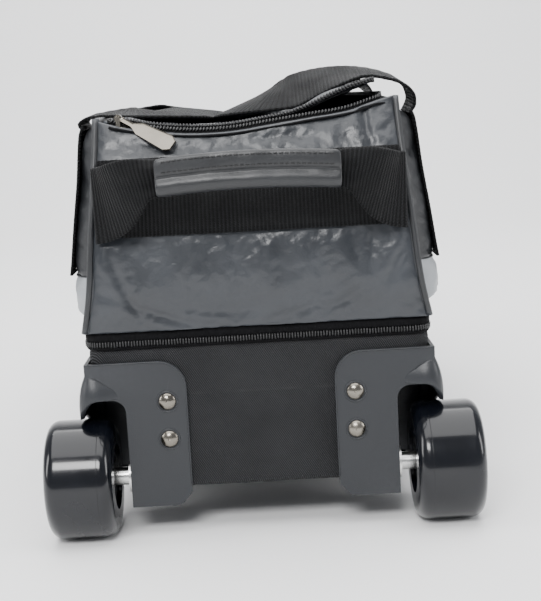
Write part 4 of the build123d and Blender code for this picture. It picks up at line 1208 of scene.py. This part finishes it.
# ------------------------------------------------------------------ webbing
# The straps, handles and end bands are 50 mm black nylon webbing with ribs across it and woven edges. The
# ribs follow the piece's own UV map: metres along the strap, then across it. The end bands come first.
rib_weave, rib_in, rib_out = effect_group(
    "rib_weave", {"Place": (0, 0, 0), "Pitch": 0.0026}, ["Height", "Tone"]
)
rib_split = add(rib_weave, "ShaderNodeSeparateXYZ", {0: rib_in.outputs["Place"]})
rib_wound = maths(rib_weave, "MULTIPLY", rib_split.outputs["X"], 2 * math.pi)
rib_along = maths(rib_weave, "DIVIDE", rib_wound, rib_in.outputs["Pitch"])
rib_across = maths(rib_weave, "MULTIPLY", rib_split.outputs["Y"], 2 * math.pi / 0.0016)
rib_stagger = maths(rib_weave, "MULTIPLY", maths(rib_weave, "SINE", rib_across), 0.55)
rib_wave = maths(rib_weave, "SINE", maths(rib_weave, "ADD", rib_along, rib_stagger))
rib_twice = maths(rib_weave, "SINE", maths(rib_weave, "MULTIPLY", rib_across, 2.0))
rib_fine = maths(rib_weave, "MULTIPLY", rib_twice, 0.35)
rib_weave.links.new(maths(rib_weave, "ADD", rib_wave, rib_fine), rib_out.inputs["Height"])
# the Tone is painted shade: dark in the valleys between the ribs, pale on their crests
rib_valley_shade = add(rib_weave, "ShaderNodeMapRange", {"Value": rib_wave, "From Min": -1.0, "From Max": 1.0})
rib_weave.links.new(rib_valley_shade.outputs[0], rib_out.inputs["Tone"])


def nylon_webbing(name, dark, pale, pitch):
    made, tree, shader = plain_material(name, specular=0.11, sheen=0.02)
    own = add(tree, "ShaderNodeUVMap", uv_map="cloth").outputs["UV"]
    ribs = place_group(tree, rib_weave, {"Place": own, "Pitch": pitch})
    place = object_place(tree)
    dusty = place_group(tree, dust, {"Place": place, "Amount": 0.1})
    fade = add(tree, "ShaderNodeTexNoise", {"Vector": place, "Scale": 40.0, "Detail": 4.0})
    # painted shade between the webbing's ribs, times a random mottle
    rib_shade_and_mottle = maths(tree, "MULTIPLY", ribs.outputs["Tone"], maths(tree, "ADD", fade.outputs["Fac"], 0.4))
    colour = tone_between(tree, rib_shade_and_mottle, dark, pale)
    painted(tree, shader, mixed_over(tree, dusty.outputs["Mask"], colour, (0.25, 0.25, 0.25)))
    shader.inputs["Roughness"].default_value = 0.55
    bumped(tree, shader, ribs.outputs["Height"], 0.0005, 0.85)
    return made


webbing = nylon_webbing("black_webbing", (0.0008, 0.0008, 0.001), (0.010, 0.0104, 0.0115), 0.0026)


def ribbon(name, centre, across, half_width, thickness, ribs=0.0, columns=18):
    """A webbing strip along centre points, half_width wide each way along across, with true edges."""
    pitch = 0.0026
    edge_round = 0.0007
    centre = np.array(centre, float)
    across = np.array(across, float)
    if across.ndim == 1:
        across = np.repeat(across[None], len(centre), axis=0)
    across /= np.linalg.norm(across, axis=1)[:, None]
    halves = np.broadcast_to(np.asarray(half_width, float), (len(centre),))
    ahead_of = np.gradient(centre, axis=0)
    ahead_of /= np.linalg.norm(ahead_of, axis=1)[:, None]
    out_way = np.cross(across, ahead_of)
    out_way /= np.linalg.norm(out_way, axis=1)[:, None]
    run = run_along(centre)
    rows = []
    for p, a, o, half, s in zip(centre, across, out_way, halves, run):
        swell = ribs * math.sin(2 * math.pi * s / pitch)
        top = [p + a * half * c + o * (thickness / 2 + swell) for c in np.linspace(-1, 1, columns)]
        bottom = [p + a * half * c - o * (thickness / 2 + swell) for c in np.linspace(1, -1, columns)]
        rows.append(top + [p + a * (half + edge_round)] + bottom + [p - a * (half + edge_round)])
    return capped(sheet_mesh(name, np.array(rows), wrap=True))


# the bands sewn across the two ends
web_middle = (web_low.z + web_high.z) / 2
web_half = (web_high.z - web_low.z) / 2
band_out = 0.0026
for end, label in ((front, "front"), (rear, "rear")):
    centre = []
    tilt = []
    for x in np.linspace(-0.0985, 0.0985, 230):
        foot = np.array(end_point(x, web_middle - web_half, end, band_out))
        head = np.array(end_point(x, web_middle + web_half, end, band_out))
        wave = 0.0008 * noise.noise(Vector((x * 25, end * 3, 0)))
        centre.append((foot + head) / 2 + np.array([0, end * (0.0012 + wave), 0]))
        tilt.append((head - foot) * (-end))
    band = ribbon("webbing_band_" + label, centre, tilt, web_half, 0.0018, 0.0001)
    placed(band, webbing, "bag", "webbing", "end_webbing_" + label)

# ------------------------------------------------------------------ top zip
# The zip runs from the left of the wheel end, round the right side and back along the other end. Its outer
# half stays on the bag. The inner half is sewn to the lid's edge and comes away from it where the zip
# stands open. The turns of the coil lean along the tape.
body_zip_low, body_zip_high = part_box("body_zip")
lid_low, lid_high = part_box("lid_panel")
zip_start = body_zip_low.x
right_edge_x = body_zip_high.x
corner_bend = 0.012
zip_pitch = 0.0022
zip_turn = (0.0034, 0.00085)
zip_lean = 0.55


def track_path(end):
    """The bag's half of the zip: along one end, round the corner and half way along the right side."""
    path = []
    for x in np.linspace(zip_start + 0.001, right_edge_x - corner_bend, 60):
        z = float(follow(crest_curve, x)) + 0.0012
        path.append((x, end * (float(follow(end_curve, z)) - 0.0045), z))
    start = path[-1]
    for t in np.linspace(0.15, 1, 9):
        angle = t * math.pi / 2
        path.append((
            right_edge_x - corner_bend + (corner_bend - 0.005) * math.sin(angle),
            start[1] - end * corner_bend * (1 - math.cos(angle)),
            start[2] + 0.003 * t,
        ))
    for y in np.linspace(abs(path[-1][1]) - 0.006, 0.0, 70):
        path.append((right_edge_x - 0.005, end * y, start[2] + 0.003))
    return np.array(path)


coil_parts = []
tape_parts = []
for end in (front, rear):
    path = track_path(end)
    on_tape = path + np.array([0, 0, 0.0008])
    coil_parts.append(copies_along("turns", on_tape, zip_pitch, False, zip_turn, zip_lean, coil_nylon))
    ahead_of = np.gradient(path, axis=0)
    out_way = np.stack([ahead_of[:, 1], -ahead_of[:, 0], np.zeros(len(path))], axis=1)
    out_way /= np.linalg.norm(out_way, axis=1)[:, None]
    if np.dot(out_way[0], (0, end, 0)) < 0:
        out_way = -out_way
    middle = path + out_way * 0.0034 - np.array([0, 0, 0.0016])
    slope = out_way - np.array([0, 0, 0.28])
    tape_parts.append(ribbon("tape", middle, slope, 0.0052, 0.0009, columns=6))
bag_tape = joined(tape_parts, "top_zip_tape")
placed(bag_tape, zip_cloth, "bag", "zip_black", "body_zip")
bag_coil = joined(coil_parts, "top_zip_turns")
placed(bag_coil, coil_nylon, "bag", "zip_black")

# ------------------------------------------------------------------ lid
# The lid is a leatherette flap hinged along the left side, lined with dark cloth, sagging in the middle and
# lifting towards its free right edge. Its half of the zip follows the edge.
lid_left = lid_low.x
lid_right = lid_high.x
lid_half_y = lid_high.y
lid_sag = [
    (lid_left, 0.2785), (-0.083, 0.279), (-0.063, 0.2752), (-0.037, 0.2724), (-0.011, 0.2724),
    (0.016, 0.2758),
]
lid_front_curve = lid_sag + [
    (0.029, 0.2778), (0.043, 0.2825), (0.056, 0.288), (0.07, 0.2932), (lid_right, 0.2965),
]
lid_rear_curve = lid_sag + [(0.042, 0.2784), (0.069, 0.2818), (lid_right, 0.2862)]


def lid_height(x, y):
    """The lid stands open at its front right corner and is zipped down at the rear."""
    t = min(1.0, max(0.0, (y + lid_half_y * 0.8) / (lid_half_y * 1.5)))
    t = t * t * (3 - 2 * t)
    return float(follow(lid_front_curve, x)) * (1 - t) + float(follow(lid_rear_curve, x)) * t


lid_xs = np.linspace(lid_left + 0.0005, lid_right - 0.0005, 76)
lid_ys = np.linspace(-lid_half_y + 0.0005, lid_half_y - 0.0005, 150)
lid_rows = np.array([[(x, y, lid_height(x, y) + 0.0006) for y in lid_ys] for x in lid_xs])
lid_rows[..., 2] += 0.0011 * waves(lid_rows, 0.04, 61)
lid_skin = sheet_mesh("lid_leather", lid_rows, flip=True)
rejoined(lid_skin)


def lid_sewn(points):
    return (
        (points[:, 0] < lid_left + 0.004)
        | (points[:, 0] > lid_right - 0.004)
        | (np.abs(points[:, 1]) > lid_half_y - 0.004)
    )


creased(lid_skin, lid_sewn, 0.02, 0.003, seed=71, pressure=-0.3)
thickened(lid_skin, 0.0024)
placed(lid_skin, slate_leather, "lid", "leatherette", "lid_panel")
lining_cloth = moulded_plastic("lining_cloth", (0.02, 0.021, 0.023), (0.032, 0.033, 0.036), 0.7, 0.85)
lining_rows = lid_rows.copy()
lining_rows[..., 2] -= 0.0030
lid_lining = sheet_mesh("lid_lining_cloth", lining_rows[1:-1, 1:-1], flip=True)
rejoined(lid_lining)
thickened(lid_lining, 0.0008)
placed(lid_lining, lining_cloth, "lid", "lining", "lid_lining")

edge_y = lid_half_y + 0.0018
edge_plan = [(x, -edge_y) for x in np.linspace(lid_left + 0.004, lid_right - 0.004, 60)]
for t in np.linspace(0.1, 0.9, 6):
    angle = t * math.pi / 2
    edge_plan.append((lid_right - 0.004 + 0.0058 * math.sin(angle), -edge_y + 0.005 * (1 - math.cos(angle))))
edge_plan += [(lid_right + 0.0018, y) for y in np.linspace(-edge_y + 0.007, 0, 60)]
edge_plan += [(x, -y) for x, y in edge_plan[-2::-1]]
edge_path = np.array([(x, y, lid_height(min(x, lid_right), y)) for x, y in edge_plan])
lid_coil = copies_along("lid_zip_turns", edge_path, zip_pitch, False, zip_turn, -zip_lean, coil_nylon)
placed(lid_coil, coil_nylon, "lid", "zip_black")
ahead_of = np.gradient(edge_path, axis=0)
in_way = np.stack([-ahead_of[:, 1], ahead_of[:, 0], np.zeros(len(edge_path))], axis=1)
in_way /= np.linalg.norm(in_way, axis=1)[:, None]
lid_tape_half = 0.0035
in_from_edge = edge_path + in_way * lid_tape_half - np.array([0, 0, 0.0006])
lid_tape = ribbon("lid_zip_tape", in_from_edge, in_way, lid_tape_half, 0.0012, columns=6)
placed(lid_tape, zip_cloth, "lid", "zip_black", "lid_zip")

# ------------------------------------------------------------------ grab handles
# Each end has a lift handle: webbing legs from the side seams, folded narrow into a padded leatherette grip
# that is wrapped and sewn shut along two rows of stitches, with a rolled lower half.
grip_low, grip_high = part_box("grab_grip_front")
grip_half = grip_high.x
grip_middle_y = -(grip_low.y + grip_high.y) / 2
grip_middle_z = (grip_low.z + grip_high.z) / 2


def grip_arch(x):
    """How much the grip bows up in its middle."""
    return 0.0028 * (1 - (x / grip_half) ** 2)


def grip_section(x, end):
    """The grip's outline at one place along it: a flat flap above and a fat roll below."""
    bow = grip_arch(x)
    points = [
        (0.0032, 0.0122), (0.0048, 0.0118), (0.0056, 0.0105), (0.0058, 0.006), (0.0058, 0.0015),
        (0.0036, 0.0005), (0.0038, -0.0010), (0.0062, -0.0045), (0.0058, -0.0085), (0.0036, -0.0116),
        (0.0, -0.0126),
        (-0.0036, -0.0116), (-0.0058, -0.008), (-0.006, -0.002), (-0.005, 0.004), (-0.003, 0.009),
        (0.0, 0.0116),
    ]
    shrink = 1.0
    from_end = grip_half - abs(x)
    end_round = 0.006
    if from_end < end_round:
        shrink = 0.86 + 0.14 * math.sqrt(max(0.0, 1 - (1 - from_end / end_round) ** 2))
    return [
        (x, end * (grip_middle_y + out * shrink), grip_middle_z + up_by * shrink + bow)
        for out, up_by in points
    ]


grip_stitch = (0.0024, 0.0003)
for end, label in ((front, "front"), (rear, "rear")):
    body = "grab_" + label
    along = np.linspace(-grip_half + 0.004, grip_half - 0.004, 70)
    tips = [grip_half - 0.0012, grip_half]
    xs = np.concatenate([[-tip for tip in tips[::-1]], along, tips])
    rows = np.array([grip_section(x, end) for x in xs])
    puckers = 0.0006 * waves(rows * np.array([1.0, 2.0, 2.0]), 0.012, 81 + end)
    rows[..., 1] += end * puckers
    rows[..., 2] += 0.4 * puckers
    grip = capped(sheet_mesh("grip_leather_" + label, rows, wrap=True))
    grip.data.polygons.foreach_set("use_smooth", [True] * len(grip.data.polygons))
    smoothed(grip)
    placed(grip, dark_leather, body, "leatherette", "grab_grip_" + label)
    thread_rows = []
    for rise in (0.0095, 0.0028):
        path = [
            (x, end * (grip_middle_y + 0.00605), grip_middle_z + rise + grip_arch(x))
            for x in np.linspace(-grip_half + 0.006, grip_half - 0.006, 80)
        ]
        thread_rows.append(copies_along("row", path, 0.0034, False, grip_stitch, math.pi / 2, thread_black))
    stitches = joined(thread_rows, "grip_stitches_" + label)
    placed(stitches, thread_black, body, "webbing")

# the webbing legs: flat and wide at the seam, gathered where they go into the grip
for end, label in ((front, "front"), (rear, "rear")):
    legs = []
    for side in (-1, 1):
        # place across, distance out from the middle, height, half width
        stations = [
            (grip_half - 0.004, grip_middle_y, 0.2435, 0.0105),
            (grip_half + 0.006, grip_middle_y - 0.0005, 0.2425, 0.0125),
            (grip_half + 0.014, grip_middle_y - 0.0035, 0.2385, 0.017),
            (grip_half + 0.022, grip_middle_y - 0.009, 0.2335, 0.0205),
            (grip_half + 0.03, grip_middle_y - 0.017, 0.229, 0.0225),
            (grip_half + 0.0365, grip_middle_y - 0.0235, 0.2265, 0.0235),
            (grip_half + 0.0425, grip_middle_y - 0.0268, 0.2255, 0.0238),
        ]
        line = even_line(stations, 0.0011)
        centre = np.stack([side * line[:, 0], end * line[:, 1], line[:, 2]], axis=1)
        t = np.linspace(0, 1, len(centre))
        lean = np.stack([side * 0.32 * np.sin(math.pi * t), np.zeros(len(t)), np.ones(len(t))], axis=1)
        if side * end > 0:
            lean = -lean
        leg = ribbon("leg", centre, lean, line[:, 3], 0.0019, 0.00016)
        # a lengthwise fold deepens towards the grip
        points = np.empty(len(leg.data.vertices) * 3)
        leg.data.vertices.foreach_get("co", points)
        points = points.reshape(-1, 3)
        fold_reach = 0.034
        fold_depth = 0.0022
        near = np.clip((grip_half + fold_reach - np.abs(points[:, 0])) / fold_reach, 0, 1)
        across = np.sin((points[:, 2] - grip_middle_z) / 0.0095 * math.pi)
        fold = across * fold_depth * near * (1 - 0.3 * near)
        points[:, 1] += end * fold
        leg.data.vertices.foreach_set("co", points.reshape(-1))
        legs.append(leg)
    both = joined(legs, "grip_webbing_" + label)
    both.data.polygons.foreach_set("use_smooth", [True] * len(both.data.polygons))
    placed(both, webbing, None, "webbing", "grab_webbing_" + label)
    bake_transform(both)

# ------------------------------------------------------------------ carry straps
# A webbing strap is sewn down each side over the pocket and comes off it as a free loop. The two loops lie
# across the lid, the right one arching over the open edge and the left one flat.
leg_y = 0.16
strap_half = 0.025
for side, label in ((-1, "left"), (1, "right")):
    legs = []
    for end in (front, rear):
        centre = []
        for z in np.linspace(pale_top + 0.0005, pocket_high.z - 0.001, 96):
            top = min(1.0, (pocket_high.z - z) / 0.008)
            under = [end * leg_y + across for across in (-0.024, -0.012, 0, 0.012, 0.024)]
            outermost = max(pocket_x(y, z, 0.0026) for y in under)
            centre.append((side * (outermost - 0.0022 * (1 - top) ** 2), end * leg_y, z))
        legs.append(ribbon("leg", centre, (0, -side, 0), strap_half, 0.0019, 0.0001))
    both = joined(legs, "strap_leg_webbing_" + label)
    placed(both, webbing, "bag", "webbing", "strap_legs_" + label)

# each loop's outer edge rests on the lid and its inner edge stands up: place across, low and high edge
right_edges = [
    (0.1135, 0.272, 0.2735), (0.1175, 0.279, 0.2815), (0.1165, 0.286, 0.2895), (0.109, 0.293, 0.2975),
    (0.098, 0.297, 0.3025), (0.084, 0.299, 0.3060), (0.068, 0.2945, 0.3075), (0.052, 0.288, 0.3068),
    (0.038, 0.2815, 0.3045), (0.03, 0.2785, 0.3025),
]
left_edges = [
    (-0.1135, 0.272, 0.2735), (-0.1165, 0.2765, 0.278), (-0.113, 0.2797, 0.2814), (-0.105, 0.2812, 0.2832),
    (-0.095, 0.2812, 0.2845), (-0.086, 0.2805, 0.2854), (-0.08, 0.2795, 0.2858),
]


def loop_strap(edges, side, label, turn_x, run_z, run_rise):
    """One leg across the lid, a soft turn, a run along the bag, a turn and the other leg back."""
    flat = even_line([(x, (low + high) / 2, high - low) for x, low, high in edges], 0.002)
    leg = [(x, -leg_y, z, rise) for x, z, rise in flat if (x - turn_x) * side > 0]
    corner_z = leg[-1][2]
    corner_rise = leg[-1][3]
    radius = 0.034
    half = list(leg)
    for k in range(1, 17):
        angle = k / 16 * math.pi / 2
        x = turn_x - side * radius * math.sin(angle)
        y = -leg_y + radius * (1 - math.cos(angle))
        t = k / 16
        half.append((x, y, corner_z * (1 - t) + run_z * t, corner_rise * (1 - t) + run_rise * t))
    for y in np.linspace(-leg_y + radius, 0, 52)[1:]:
        half.append((turn_x - side * radius, y, run_z, run_rise))
    half = np.array(half)
    whole = np.concatenate([half, half[::-1][1:] * np.array([1, -1, 1, 1])])
    centre = whole[:, :3]
    # inwards is to the right of the way along the right strap, and to the left along the left one
    level = np.gradient(centre, axis=0)
    level[:, 2] = 0
    level /= np.maximum(np.linalg.norm(level, axis=1), 1e-6)[:, None]
    level[np.abs(level[:, 0]) < 1e-6, 0] = 0
    inward = side * np.cross(level, np.array([0, 0, 1.0]))
    near_leg = np.abs(centre[:, 0]) > 0.105
    inward[near_leg] = np.stack(
        [np.zeros(near_leg.sum()), -np.sign(centre[near_leg, 1]), np.zeros(near_leg.sum())], axis=1
    )
    sine = np.clip(whole[:, 3] / (2 * strap_half), -0.8, 0.8)
    across = inward * np.sqrt(1 - sine**2)[:, None] + np.array([0, 0, 1.0]) * sine[:, None]
    loop_half = strap_half - 0.0008
    strap = ribbon("carry_webbing_" + label, centre, across, loop_half, 0.0021, 0.00012, columns=14)
    placed(strap, webbing, None, "webbing", "carry_strap_" + label)
    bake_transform(strap)


loop_strap(right_edges, 1, "right", 0.033, 0.2835, 0.016)
loop_strap(left_edges, -1, "left", -0.082, 0.2785, 0.007)
